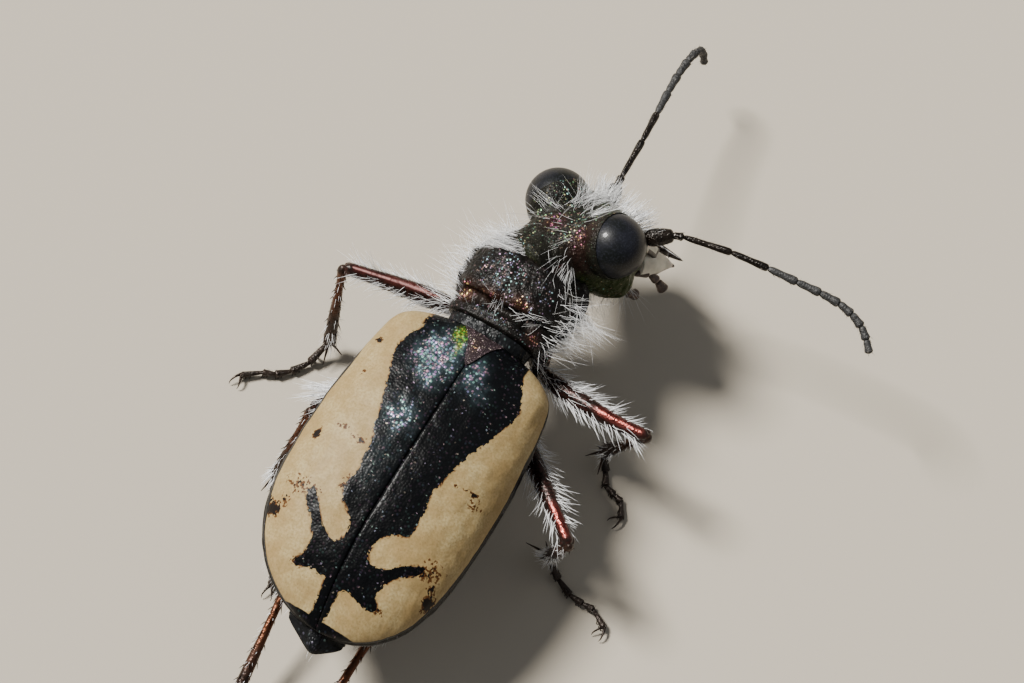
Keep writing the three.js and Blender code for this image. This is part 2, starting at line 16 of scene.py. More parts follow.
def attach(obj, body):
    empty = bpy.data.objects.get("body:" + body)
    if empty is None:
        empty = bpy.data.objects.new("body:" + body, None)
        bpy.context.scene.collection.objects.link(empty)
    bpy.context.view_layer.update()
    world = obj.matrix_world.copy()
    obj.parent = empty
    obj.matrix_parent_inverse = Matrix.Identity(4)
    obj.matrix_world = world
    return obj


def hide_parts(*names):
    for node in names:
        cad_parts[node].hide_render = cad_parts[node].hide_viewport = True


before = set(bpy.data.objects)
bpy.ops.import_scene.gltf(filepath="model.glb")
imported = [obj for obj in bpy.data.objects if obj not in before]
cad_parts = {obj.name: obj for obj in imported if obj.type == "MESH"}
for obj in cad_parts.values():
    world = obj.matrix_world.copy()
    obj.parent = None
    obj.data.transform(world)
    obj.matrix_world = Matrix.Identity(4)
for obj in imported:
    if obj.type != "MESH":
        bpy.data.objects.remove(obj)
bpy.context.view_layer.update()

MM = 0.001
TURN = 2 * math.pi
TINY = 1e-12
SIDES = {"left": 1, "right": -1}

# Driving sizes
ELYTRA_LENGTH = 11.1
ELYTRA_HALF_WIDTH = 3.54
ELYTRON_THICKNESS = 0.3
BELLY_DEPTH = 1.55
TAIL_REACH = 0.6
THORAX_REAR = 4.35
FOOT_HEIGHT = 0.22

# Pose
BODY_HEIGHT = 5.0
BODY_PITCH = 5
BODY_PLACE = (1.84, -2.32)
PROTHORAX_AT = (-0.05, -2.05, 0.02)
HEAD_AT = (-0.76, -5.38, 0)

# Camera, in the model's frame
CAMERA_PLACE = (-7.36, 27.73, 93.88)
CAMERA_RIGHT = (-0.8535, -0.5123, 0.0951)
CAMERA_UP = (0.5133, -0.7953, 0.3227)


def turned(yaw, pitch, roll, place):
    """A frame: its turn and its origin, in the frame that carries it."""
    turn = (
        Matrix.Rotation(-math.radians(yaw), 3, "Z")
        @ Matrix.Rotation(math.radians(pitch), 3, "X")
        @ Matrix.Rotation(math.radians(roll), 3, "Y")
    )
    return np.array(turn), np.array(place, float)


BODY = turned(0, -BODY_PITCH, 0, (*BODY_PLACE, BODY_HEIGHT))
PROTHORAX = turned(0, 2, 12, PROTHORAX_AT)
HEAD = turned(34, 23, 37.5, HEAD_AT)


def put(points, *frames):
    """Points of the innermost frame in the model's frame."""
    for turn, place in frames:
        points = np.asarray(points, float) @ turn.T + place
    return points


def ways_of(*frames):
    """What turns a direction of the innermost frame into one of the model's frame."""
    turns = [(turn, 0) for turn, _ in frames]
    return lambda x, y, z: put((x, y, z), *turns)


body_way = ways_of(BODY)
prothorax_way = ways_of(PROTHORAX, BODY)
head_way = ways_of(HEAD, BODY)


def unit(vectors):
    """Vectors at length one."""
    return vectors / np.maximum(np.linalg.norm(vectors, axis=-1, keepdims=True), TINY)


def mix(a, b, t):
    return a + (b - a) * t


def ramp(low, high, x):
    """Smooth step from 0 at low to 1 at high."""
    t = np.clip((x - low) / (high - low), 0, 1)
    return t * t * (3 - 2 * t)


def along(pairs, x):
    """Value at x on a smooth line through (x, value) pairs."""
    xs, ys = np.array(pairs, float).T
    slopes = np.gradient(ys, xs)
    x = np.clip(x, xs[0], xs[-1])
    k = np.clip(np.searchsorted(xs, x) - 1, 0, len(xs) - 2)
    step = xs[k + 1] - xs[k]
    t = (x - xs[k]) / step
    rise = (3 - 2 * t) * t * t
    start = t * (1 - t) ** 2 * step * slopes[k]
    end = t * t * (t - 1) * step * slopes[k + 1]
    return ys[k] + (ys[k + 1] - ys[k]) * rise + start + end


def bow(value, power):
    """Signed power, for superellipses."""
    return np.sign(value) * np.abs(value) ** power


def hump(x, centre, width):
    """A bell of height one."""
    return np.exp(-(((x - centre) / width) ** 2))


def round_end(share, least=0.0):
    """How full a round end is, from its tip at share 0 to its full width at share 1."""
    return np.sqrt(np.clip(1 - np.clip(1 - share, 0, 1) ** 2, least, 1))


def spline(points, count, closed=False):
    """Evenly spread points on a smooth line through the given ones."""
    points = np.array(points, float)
    n = len(points)
    at = np.arange(n + 1 if closed else n)
    padded = points[at % n]
    before = points[(at - 1) % n] if closed else np.vstack([2 * points[0] - points[1], points[:-1]])
    after = points[(at + 1) % n] if closed else np.vstack([points[1:], 2 * points[-1] - points[-2]])
    slopes = (after - before) / 2
    t = np.linspace(0, 1, 24, endpoint=False)[None, :, None]
    a, b = padded[:-1, None], padded[1:, None]
    p, q = slopes[:-1, None], slopes[1:, None]
    fine = (
        (2 * t**3 - 3 * t**2 + 1) * a
        + (t**3 - 2 * t**2 + t) * p
        + (3 * t**2 - 2 * t**3) * b
        + (t**3 - t**2) * q
    ).reshape(-1, points.shape[1])
    fine = np.vstack([fine, padded[-1]])
    walked = np.concatenate([[0], np.cumsum(np.linalg.norm(np.diff(fine, axis=0), axis=1))])
    wanted = np.linspace(0, walked[-1], count)
    return np.stack([np.interp(wanted, walked, fine[:, k]) for k in range(fine.shape[1])], 1)


# Skins and meshes


class Skin:
    """A grid of points, rows by columns, and what goes with each of them.

    own holds each point's place in its part's own frame, for the materials, and values holds
    named numbers. On a closed skin the last column joins the first.
    """

    def __init__(self, points, closed=True, own=None, **values):
        self.points = points
        self.closed = closed
        self.own = points if own is None else own
        self.values = {}
        self.paint(**values)

    def paint(self, **values):
        """The same skin with named numbers, each spread over the whole grid."""
        for name, value in values.items():
            self.values[name] = np.broadcast_to(value, self.points.shape[:2])
        return self

    def slopes(self):
        """The two directions along the skin, by rows and by columns."""
        by_row = np.gradient(self.points, axis=0)
        if self.closed:
            by_column = (np.roll(self.points, -1, 1) - np.roll(self.points, 1, 1)) / 2
        else:
            by_column = np.gradient(self.points, axis=1)
        return by_row, by_column

    def normals(self):
        normal = np.cross(*self.slopes())
        centre = self.points.mean(1, keepdims=True) if self.closed else self.points.mean((0, 1))
        if (normal * (self.points - centre)).sum() < 0:
            normal = -normal
        return unit(normal)

    def lifted(self, height):
        """The same skin with its points moved out along the normals."""
        self.points = self.points + self.normals() * height[..., None]
        return self

    def way(self):
        """The direction from the first ring to the last."""
        return unit(self.points[-1].mean(0) - self.points[0].mean(0))


def ring_grid(start, end, rows, columns):
    """Shares from 0 to 1 by rows, places from start to end, and angles round each ring."""
    v = np.linspace(0, 1, rows)[:, None]
    angle = np.linspace(-math.pi, math.pi, columns, endpoint=False)[None, :] + 0 * v
    return v, mix(start, end, v) + 0 * angle, angle


def grid_faces(rows, columns, closed):
    across = np.arange(columns if closed else columns - 1)
    a = (np.arange(rows - 1)[:, None] * columns) + across
    b = (np.arange(rows - 1)[:, None] * columns) + (across + 1) % columns
    return np.stack([a, b, b + columns, a + columns], -1).reshape(-1, 4)


class Shape:
    """Points, faces of three or four corners, and values by point."""

    def __init__(self, points, faces, own, values):
        self.points = points
        self.faces = faces
        self.own = own
        self.values = values


def closed_shape(skin):
    """A tube of a closed skin, its two ends shut with fans."""
    rows, columns = skin.points.shape[:2]
    points, own = (
        np.vstack([grid.reshape(-1, 3), grid[[0, -1]].mean(1)]) for grid in (skin.points, skin.own)
    )
    k = np.arange(columns)
    last = (rows - 1) * columns
    first_fan = np.stack([(k + 1) % columns, k, np.full(columns, rows * columns)], 1)
    last_fan = np.stack([last + k, last + (k + 1) % columns, np.full(columns, rows * columns + 1)], 1)
    values = {
        name: np.concatenate([value.ravel(), value[[0, -1]].mean(1)])
        for name, value in skin.values.items()
    }
    return outward(Shape(points, [grid_faces(rows, columns, True), first_fan, last_fan], own, values))


def shell_shape(outer, inner):
    """A plate between two open skins of the same grid."""
    rows, columns = outer.points.shape[:2]
    count = rows * columns
    k = np.arange(count).reshape(rows, columns)
    rim = np.concatenate([k[0, :], k[1:, -1], k[-1, -2::-1], k[-2:0:-1, 0]])
    after = np.roll(rim, -1)
    sides = np.stack([rim, after, after + count, rim + count], 1)
    top = grid_faces(rows, columns, False)
    points = np.vstack([outer.points.reshape(-1, 3), inner.points.reshape(-1, 3)])
    own = np.vstack([outer.own.reshape(-1, 3), inner.own.reshape(-1, 3)])
    values = {
        name: np.concatenate([value.ravel(), inner.values[name].ravel()])
        for name, value in outer.values.items()
    }
    return outward(Shape(points, [top[:, ::-1], top + count, sides], own, values))


def outward(shape):
    """The same shape with its faces turned outward."""
    volume = 0
    for faces in shape.faces:
        a = shape.points[faces[:, 0]]
        for k in range(1, faces.shape[1] - 1):
            b, c = shape.points[faces[:, k]], shape.points[faces[:, k + 1]]
            volume += (a * np.cross(b, c)).sum()
    if volume < 0:
        shape.faces = [faces[:, ::-1] for faces in shape.faces]
    return shape


def joined(shapes):
    """Several shapes as one."""
    names = sorted({name for shape in shapes for name in shape.values})
    faces = []
    start = 0
    for shape in shapes:
        faces += [one + start for one in shape.faces]
        start += len(shape.points)
    values = {
        name: np.concatenate([s.values.get(name, np.zeros(len(s.points))) for s in shapes])
        for name in names
    }
    points = np.vstack([s.points for s in shapes])
    return Shape(points, faces, np.vstack([s.own for s in shapes]), values)


def new_piece(name, shape, material, smooth=True):
    """A Blender object of a shape, in metres."""
    mesh = bpy.data.meshes.new(name)
    corners = np.concatenate([faces.ravel() for faces in shape.faces]).astype(np.int32)
    sizes = np.concatenate([np.full(len(faces), faces.shape[1]) for faces in shape.faces])
    starts = np.concatenate([[0], np.cumsum(sizes)[:-1]]).astype(np.int32)
    mesh.vertices.add(len(shape.points))
    mesh.vertices.foreach_set("co", (shape.points * MM).astype(np.float32).ravel())
    mesh.loops.add(len(corners))
    mesh.loops.foreach_set("vertex_index", corners)
    mesh.polygons.add(len(sizes))
    mesh.polygons.foreach_set("loop_start", starts)
    mesh.update(calc_edges=True)
    mesh.validate()
    mesh.polygons.foreach_set("use_smooth", np.full(len(mesh.polygons), smooth))
    own = mesh.attributes.new("own", "FLOAT_VECTOR", "POINT")
    own.data.foreach_set("vector", shape.own.astype(np.float32).ravel())
    for key, value in shape.values.items():
        attribute = mesh.attributes.new(key, "FLOAT", "POINT")
        attribute.data.foreach_set("value", value.astype(np.float32))
    mesh.materials.append(material)
    made = bpy.data.objects.new(name, mesh)
    bpy.context.scene.collection.objects.link(made)
    return made


def dress(node, shape, material):
    """A piece that stands for a node of the frame."""
    made = new_piece(f"{node}_skin", shape, material)
    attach(made, "root")
    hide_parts(node)


def tube(centres, radii, sides, flat=1.0, up=(0, 0, 1)):
    """A skin round a line of centres, flattened across up, in the model's frame."""
    centres = np.array(centres, float)
    ways = unit(np.gradient(centres, axis=0))
    normal = np.array(up, float)
    rings = []
    angles = np.linspace(0, TURN, sides, endpoint=False)
    for centre, way, radius in zip(centres, ways, radii):
        normal = unit(normal - way * (normal @ way))
        side = np.cross(way, normal)
        rings.append(
            centre
            + radius * np.cos(angles)[:, None] * normal
            + radius * flat * np.sin(angles)[:, None] * side
        )
    return Skin(np.array(rings))


def bead(a, b, profile, sides, rows, start, end, wide=1.0, flat=1.0, arch=(0, 0, 0)):
    """A skin from a to b with round ends, whose radii come from (share of length, radius) pairs.

    The pairs' radii are shares of wide. The skin's along holds the share of length of each row.
    """
    a, b = np.array(a, float), np.array(b, float)
    s = np.linspace(0, 1, rows)
    s = mix(s, (1 - np.cos(math.pi * s)) / 2, 0.6)
    full = np.minimum(round_end(s / start, 0.002), round_end((1 - s) / end, 0.002))
    centres = a + (b - a) * s[:, None] + np.array(arch) * (4 * s * (1 - s))[:, None]
    skin = tube(centres, along(profile, s) * wide * full, sides, flat)
    skin.along = s[:, None]
    return skin


# Random numbers, each use with its own seed


def seeded(number):
    return np.random.default_rng(number)


def ripples(points, scale, seed, waves=24):
    """A smooth random height between about -1 and 1 at each point, from waves of one size."""
    rng = seeded(seed)
    ways = unit(rng.normal(size=(waves, 3))) * (TURN / scale) * rng.uniform(0.7, 1.4, (waves, 1))
    phases = rng.uniform(0, TURN, waves)
    return np.cos(points @ ways.T + phases).sum(-1) * math.sqrt(2 / waves) / 1.6


# Materials


class Out:
    """One output of a node. Sums, differences and products of outputs are further nodes."""

    def __init__(self, look, socket):
        self.look = look
        self.socket = socket

    def math(self, operation, other, clamp=False):
        return self.look.add("Math", 0, {0: self, 1: other}, operation=operation, use_clamp=clamp)

    def __add__(self, other):
        return self.math("ADD", other)

    def __sub__(self, other):
        return self.math("SUBTRACT", other)

    def __mul__(self, other):
        return self.math("MULTIPLY", other)

    def top(self, other):
        return self.math("MAXIMUM", other)

    def span(self, low, high, to_low=0.0, to_high=1.0):
        """The value between low and high as a smooth share, from to_low to to_high."""
        inputs = {"Value": self, "From Min": low, "From Max": high, "To Min": to_low, "To Max": to_high}
        return self.look.add("MapRange", 0, inputs, interpolation_type="SMOOTHSTEP")


class Look:
    """A material, with short ways to add nodes and join them."""

    def __init__(self, name, **sockets):
        self.material = bpy.data.materials.new(name)
        self.material.use_nodes = True
        self.tree = self.material.node_tree
        self.shader = self.tree.nodes["Principled BSDF"]
        self.port("base_color").default_value = (0.5, 0.5, 0.5, 1)
        for key, value in sockets.items():
            self.port(key).default_value = value

    def port(self, key):
        return self.shader.inputs[key.replace("_", " ").title().replace("Ior", "IOR")]

    def set(self, **outputs):
        """Join outputs to the shader's sockets."""
        for key, output in outputs.items():
            self.tree.links.new(output.socket, self.port(key))
        return self.material

    def add(self, kind, output, inputs, **settings):
        """One output of a new node; inputs maps sockets to numbers or to other outputs."""
        made = self.tree.nodes.new("ShaderNode" + kind)
        for key, value in settings.items():
            setattr(made, key, value)
        for key, value in inputs.items():
            if isinstance(value, Out):
                self.tree.links.new(value.socket, made.inputs[key])
            else:
                made.inputs[key].default_value = value
        return Out(self, made.outputs[output])

    def attributes(self, *names):
        return [self.add("Attribute", "Fac", {}, attribute_name=name) for name in names]

    @functools.cached_property
    def own(self):
        return self.add("Attribute", "Vector", {}, attribute_name="own")

    def noise(self, scale, detail, where=None):
        inputs = {"Vector": where or self.own, "Scale": scale, "Detail": detail}
        return self.add("TexNoise", "Fac", inputs)

    def clouds(self, scale, detail, *span):
        """Noise as a smooth share, as Out.span has it."""
        return self.noise(scale, detail).span(*span)

    def cells(self, scale, output="Distance", flat=False):
        inputs = {"Vector": self.own, "Scale": scale}
        return self.add("TexVoronoi", output, inputs, voronoi_dimensions="2D" if flat else "3D")

    def mixed(self, share, a, b):
        """Colour b over colour a by share."""
        a, b = (one if isinstance(one, Out) else (*one, 1) for one in (a, b))
        return self.add("Mix", 2, {0: share, 6: a, 7: b}, data_type="RGBA")

    def facing(self):
        return self.add("NewGeometry", "Normal", {})

    def bump(self, height, depth, normal=None):
        """A normal from a height; depth is in millimetres."""
        inputs = {"Height": height, "Distance": depth * MM, "Strength": 1.0}
        if normal is not None:
            inputs["Normal"] = normal
        return self.add("Bump", 0, inputs)

    def tilted(self, color, amount):
        """The surface's normal, tilted at random by the colour of each grain."""
        normal = color
        for operation, other in (
            ("SUBTRACT", (0.5, 0.5, 0.5)),
            ("MULTIPLY", (amount,) * 3),
            ("ADD", self.facing()),
            ("NORMALIZE", (0, 0, 0)),
        ):
            normal = self.add("VectorMath", 0, {0: normal, 1: other}, operation=operation)
        return normal


class Grains:
    """Domed grains: their distance field, colour and three random numbers for each."""

    def __init__(self, look, scale, flat=False):
        self.look = look
        self.distance = look.cells(scale, "Distance", flat)
        self.color = look.cells(scale, "Color", flat)
        self.random = [look.add("SeparateColor", k, {0: self.color}) for k in range(3)]

    def dome(self):
        return self.distance.span(0, 0.7, 1, 0)

    def lit(self, shine, share):
        """Which grains glitter: about share of them, and more where shine is high."""
        return (self.random[0] + shine).span(0.97 - share, 1.03 - share)

    def tint(self, hue_low, hue_high, saturation, low, high, drift=0.0):
        """A colour for each grain; drift moves neighbours' hues together."""
        hue = (self.random[1] + drift).span(0, 1, hue_low, hue_high).math("FRACT", 0.0)
        value = self.random[2].span(0, 1, low, high)
        return self.look.add("CombineColor", 0, {0: hue, 1: saturation, 2: value}, mode="HSV")


def shaded(color, share):
    return tuple(c * share for c in color)


def wing_case_material():
    """Cream and black, with jagged brown-edged borders, glinting grains on the black, and a painted
    sheen on the black where sheen says.
    """
    look = Look("wing_case", specular_ior_level=0.13)
    dark, rim, speck, sheen, lime = look.attributes("dark", "rim", "speck", "sheen", "lime")
    grains, fine, teeth, dots = (Grains(look, scale, flat=True) for scale in (9.5, 22.0, 11.0, 15.0))
    soft = 0.012
    wobble = look.noise(4.0, 3) - 0.5
    border = dark + wobble * 0.12 + (teeth.random[0] - 0.5) * 0.075
    black = border.span(-soft, soft).top((rim + wobble * 0.05).span(-soft, soft))
    blotch = speck + (dots.random[1] - 0.5) * 0.75 + wobble * 0.4

    cream = look.mixed(look.clouds(0.6, 3, 0.32, 0.68), (0.282, 0.195, 0.086), (0.350, 0.272, 0.138))
    for share, color in (
        (look.clouds(2.0, 4, 0.38, 0.62, 0.45, 0.0), (0.225, 0.145, 0.055)),
        (look.cells(4.2, flat=True).span(0.07, 0.14, 0.4, 0.0), (0.18, 0.11, 0.04)),
        (look.clouds(11, 3, 0.38, 0.62, 0.0, 0.5), (0.205, 0.148, 0.058)),
        (border.span(-0.07, 0.0) * look.clouds(2.6, 2, 0.4, 0.62), (0.09, 0.036, 0.010)),
        (blotch.span(0.44, 0.54), (0.075, 0.030, 0.008)),
        (blotch.span(0.68, 0.78), (0.006, 0.004, 0.003)),
    ):
        cream = look.mixed(share, cream, color)

    # Painted sheen: where sheen is high the black turns a lighter teal, and more of its grains glint,
    # brighter.
    sheen = sheen * look.clouds(3.2, 3, 0.36, 0.62, 0.3, 1.15)
    lit = grains.distance.span(0.2, 0.55, 1, 0) * grains.lit(sheen * 0.9, 0.3)
    bright = lit * sheen.span(0, 0.6, 0.012, 1.0)
    twinkle = fine.lit(sheen * 0.5, 0.004) * 0.3
    # Painted glint: fine grains at the base of the left wing case turn a bright yellow-green.
    green = lime * grains.distance.span(0.2, 0.5, 1, 0.25)
    drift = (look.noise(2.0, 2) - 0.5) * 2.2
    shell = look.mixed(sheen, (0.0012, 0.0014, 0.0018), (0.085, 0.135, 0.155))
    shell = look.mixed(bright, shell, grains.tint(0.44, 0.94, 0.5, 0.12, 1.1, drift))
    shell = look.mixed(twinkle, shell, fine.tint(0.4, 1.1, 0.3, 0.1, 0.9))
    shell = look.mixed(green, shell, fine.tint(0.15, 0.33, 0.9, 0.4, 1.5))
    shine = bright.top(lime).top(sheen * 0.9).top(twinkle)
    tilt = black * (sheen + bright).span(0, 0.6, 0.03, 1.0)
    relief = look.mixed(tilt, look.facing(), look.tilted(fine.color, 0.26))
    relief = look.bump(grains.dome() * black.span(0, 1, 0.2, 1), 0.0045, relief)
    return look.set(
        base_color=look.mixed(black, cream, shell),
        metallic=black * shine,
        roughness=black.span(0, 1, 0.5, 0.36),
        normal=look.bump(look.noise(2.4, 3), 0.03, relief),
    )


def chitin_material(name, base, warm, cool_hues, warm_hues, scale, tinge=0.3):
    """Dark, granular, metallic shell. The attribute warm turns it from base to warm; sheen paints a
    lighter grey sheen and makes more grains glint.
    """
    look = Look(name, specular_ior_level=0.14)
    zone, sheen, green = look.attributes("warm", "sheen", "green")
    grains = Grains(look, scale)
    cloud = look.noise(1.3, 3)
    color = look.mixed(cloud.span(0.35, 0.65), base, shaded(base, 1.8))
    color = look.mixed(zone, color, warm)
    color = look.mixed(green, color, (0.020, 0.030, 0.006))
    cool_glint = grains.tint(*cool_hues, tinge, 0.12, 0.95)
    warm_glint = grains.tint(*warm_hues, 0.72, 0.15, 1.2)
    glint = look.mixed((zone + (cloud - 0.5)).span(0.2, 0.45), cool_glint, warm_glint)
    lit = grains.lit(sheen * 0.7, 0.24) * sheen.span(0, 0.15, 0.1, 1.0)
    lit = lit * grains.distance.span(0.2, 0.55, 1, 0) * look.clouds(2.4, 2, 0.4, 0.6, 0.12, 1.0)
    color = look.mixed(lit, color, glint)
    facets = look.mixed((sheen + zone).span(0, 0.35), look.facing(), look.tilted(grains.color, 0.3))
    bumps = look.bump(grains.dome(), 0.016, facets)
    # Painted sheen: the colour turns a lighter grey where sheen is high.
    return look.set(
        base_color=look.mixed(sheen * 0.4, color, (0.03, 0.032, 0.035)),
        metallic=lit.top(zone.span(0, 1, 0.2, 0.6)),
        roughness=look.clouds(3.1, 2, 0.3, 0.7, 0.33, 0.46),
        normal=look.bump(look.noise(5.0, 3), 0.03, bumps),
    )


def leg_material(name, copper, dark, rough):
    """Polished metallic leg shell: dark, copper where glow says, with a painted rosy highlight line
    where gleam says.
    """
    look = Look(name, specular_ior_level=0.45)
    glow, gleam = look.attributes("glow", "gleam")
    share = glow.math("ADD", look.clouds(1.2, 3, 0.35, 0.65, -0.15, 0.15), clamp=True)
    color = look.mixed(share.span(0.15, 0.75), dark, copper)
    color = look.mixed(look.clouds(9.0, 2, 0.35, 0.65, 0.0, 0.4), color, shaded(copper, 0.45))
    facets = look.bump(look.cells(11.0).span(0, 0.7, 1, 0), 0.008)
    return look.set(
        base_color=look.mixed(gleam * look.clouds(6.0, 3, 0.32, 0.52), color, (1.0, 0.50, 0.46)),
        metallic=share.span(0, 1, 0.5, 0.95),
        roughness=look.clouds(4.0, 2, 0.3, 0.7, rough, rough + 0.12),
        normal=look.bump(look.noise(3.5, 3), 0.03, facets),
    )


def eye_material():
    """Dark eye of very fine facets under a clear gloss."""
    look = Look("eye", roughness=0.4, specular_ior_level=0.16, coat_weight=0.12, coat_roughness=0.05)
    facets = look.cells(26.0)
    color = look.mixed(look.clouds(1.1, 2, 0.35, 0.65), (0.003, 0.0045, 0.004), (0.009, 0.010, 0.016))
    color = look.mixed(facets.span(0.25, 0.5, 0.0, 0.5), color, (0.003, 0.003, 0.003))
    color = look.mixed(look.clouds(17.0, 1, 0.5, 0.72, 0.0, 0.5), color, (0.022, 0.023, 0.032))
    return look.set(base_color=color, normal=look.bump(facets.span(0, 0.55, 1, 0), 0.003))


def mouth_material():
    """Ivory shell that darkens to brown and black where the attribute dark says."""
    look = Look("mouth_ivory", subsurface_weight=0.08, subsurface_scale=0.0003)
    dark = look.attributes("dark")[0] + (look.noise(4.0, 3) - 0.5) * 0.3
    ivory = look.mixed(look.clouds(2.2, 3, 0.35, 0.65), (0.52, 0.48, 0.39), (0.64, 0.60, 0.50))
    brown = look.mixed(dark.span(0.3, 0.5), ivory, (0.13, 0.07, 0.03))
    return look.set(
        base_color=look.mixed(dark.span(0.45, 0.62), brown, (0.012, 0.008, 0.006)),
        roughness=dark.span(0.3, 0.7, 0.42, 0.36),
        normal=look.bump(look.noise(6.0, 3), 0.02),
    )


def feeler_material(name, brown, grey, rough):
    """Dark brown joints; the attribute dull turns them to a fine grey down."""
    look = Look(name)
    dull = look.attributes("dull")[0]
    color = look.mixed(look.clouds(2.4, 3, 0.35, 0.65), brown, shaded(brown, 0.45))
    down = look.mixed(look.clouds(14.0, 2, 0.4, 0.62), grey, shaded(grey, 3.2))
    facets = look.bump(look.cells(13.0).span(0, 0.7, 1, 0), 0.014)
    return look.set(
        base_color=look.mixed(dull, color, down),
        metallic=dull.span(0, 1, 0.55, 0.0),
        roughness=dull.span(0, 1, rough, 0.6),
        normal=look.bump(look.noise(5.0, 3), 0.02, facets),
    )


def bristle_material(name, color, darker):
    """Hairs, each a little different from the next; shade turns them grey, partly at random and partly
    as painted shade on hairs away from the light.
    """
    look = Look(name, roughness=0.4, specular_ior_level=0.6, sheen_weight=0.5, sheen_roughness=0.4)
    return look.set(base_color=look.mixed(look.attributes("shade")[0], color, darker))


def floor_material():
    """Plain pale matt floor."""
    look = Look("floor", roughness=0.85)
    cloud = look.noise(9.0, 3, look.add("TexCoord", "Object", {}))
    return look.set(base_color=look.mixed(cloud, (0.395, 0.352, 0.285), (0.415, 0.372, 0.302)))


WING = wing_case_material()
SHELL = chitin_material(
    "bronze_shell", (0.004, 0.0035, 0.003), (0.040, 0.012, 0.005), (0.45, 1.05), (-0.05, 0.12), 13.5,
    tinge=0.42,
)
SCUTE = chitin_material(
    "scutellum_shell", (0.022, 0.014, 0.016), (0.060, 0.036, 0.032), (0.92, 1.12), (0.0, 0.12), 16.0
)
BELLY = chitin_material(
    "belly_shell", (0.004, 0.0045, 0.005), (0.014, 0.010, 0.013), (0.42, 0.80), (0.8, 0.98), 9.0
)
HEAD_SHELL = chitin_material(
    "head_shell", (0.005, 0.005, 0.0035), (0.030, 0.009, 0.007), (0.03, 0.5), (-0.12, 0.1), 14.0,
    tinge=0.5,
)
COPPER = leg_material("leg_copper", (0.165, 0.040, 0.033), (0.012, 0.008, 0.006), 0.24)
BRONZE_LEG = leg_material("leg_bronze", (0.105, 0.040, 0.020), (0.016, 0.009, 0.006), 0.3)
EYE = eye_material()
MOUTH = mouth_material()
FEELER = feeler_material("feeler", (0.011, 0.007, 0.004), (0.007, 0.007, 0.007), 0.32)
PALP = feeler_material("palp", (0.12, 0.09, 0.075), (0.17, 0.16, 0.15), 0.42)
FOOT = feeler_material("foot", (0.026, 0.015, 0.009), (0.02, 0.02, 0.02), 0.36)
WHITE_HAIR = bristle_material("white_bristle", (0.96, 0.97, 0.98), (0.30, 0.295, 0.285))
DARK_HAIR = bristle_material("dark_bristle", (0.05, 0.035, 0.025), (0.30, 0.27, 0.22))


# Wing cases

WIDEST = 0.48
SHOULDER = 0.1
ELYTRA_HEIGHTS = [
    (0, 0.95), (0.04, 1.2), (0.15, 1.6), (0.3, 1.87), (0.5, 2.0),
    (0.7, 1.8), (0.85, 1.35), (0.95, 0.75), (1, 0.35),
]
DOME_POWER = 2 / 2.3
SUTURE_EDGE = 0.008
TAIL_BEND = 0.38
BEND_START = 0.6
# How much wider the dark border is along the side of each wing case
FLANK_BORDERS = {"left": 0.46, "right": 0.36}


def elytra_half_width(t):
    rear = np.clip((t - WIDEST) / (1 - WIDEST), 0, 1)
    behind = ELYTRA_HALF_WIDTH * np.sqrt(np.maximum(0, 1 - rear**3))
    front = np.clip((WIDEST - t) / WIDEST, 0, 1)
    before = ELYTRA_HALF_WIDTH * (1 - 0.2 * front**2) * (0.45 + 0.55 * round_end(t / SHOULDER))
    return np.where(t > WIDEST, behind, before)


def elytra_height(t):
    return along(ELYTRA_HEIGHTS, t)


def rear_bend(t):
    return -TAIL_BEND * (np.maximum(0, t - BEND_START) / (1 - BEND_START)) ** 2


# The black of each wing case as a closed line: millimetres outward from the suture along the
# surface, and rearward from the base.
BLACK_BAND = {
    "left": [
        (-0.4, -0.4), (1.7, -0.4), (1.95, 0.3), (1.97, 0.95), (2.17, 1.3), (2.27, 1.85), (2.1, 2.55),
        (1.85, 3.2), (1.6, 3.9), (1.44, 4.45), (1.2, 5.1), (1.12, 5.7), (1.05, 6.2), (1.12, 6.75),
        (1.02, 7.2), (0.7, 7.42), (0.42, 7.75), (0.36, 8.15), (0.5, 8.47), (0.85, 8.42),
        (1.3, 8.1), (1.75, 7.55), (2.1, 7.4), (2.1, 7.75), (1.75, 8.1), (1.45, 8.45), (1.27, 8.85),
        (1.3, 9.25), (1.5, 9.6), (1.25, 9.7), (0.84, 9.55), (0.5, 9.62), (0.32, 9.6), (0.3, 10.1),
        (0.32, 10.6), (0.42, 10.85), (1.1, 11.0), (1.1, 11.6), (-0.4, 11.6),
    ],
    "right": [
        (-0.4, -0.4), (1.6, -0.4), (1.85, 0.6), (2.1, 1.2), (2.32, 1.6), (2.32, 2.1), (2.15, 2.65),
        (2.0, 3.15), (1.8, 3.6), (1.66, 4.1), (1.5, 4.65), (1.43, 5.1), (1.35, 5.6), (1.46, 6.2),
        (1.48, 6.8), (1.46, 7.2), (1.1, 7.3), (0.8, 7.55), (0.6, 7.95), (0.62, 8.35), (0.95, 8.52),
        (1.42, 8.32), (1.87, 7.95), (2.35, 7.7), (2.4, 7.95), (1.85, 8.4), (1.5, 8.85), (1.4, 9.3),
        (1.62, 9.6), (1.4, 9.75), (0.88, 9.74), (0.5, 9.62), (0.28, 9.75), (0.22, 10.2),
        (0.16, 10.7), (0.2, 10.98), (0.9, 11.1), (0.9, 11.6), (-0.4, 11.6),
    ],
}
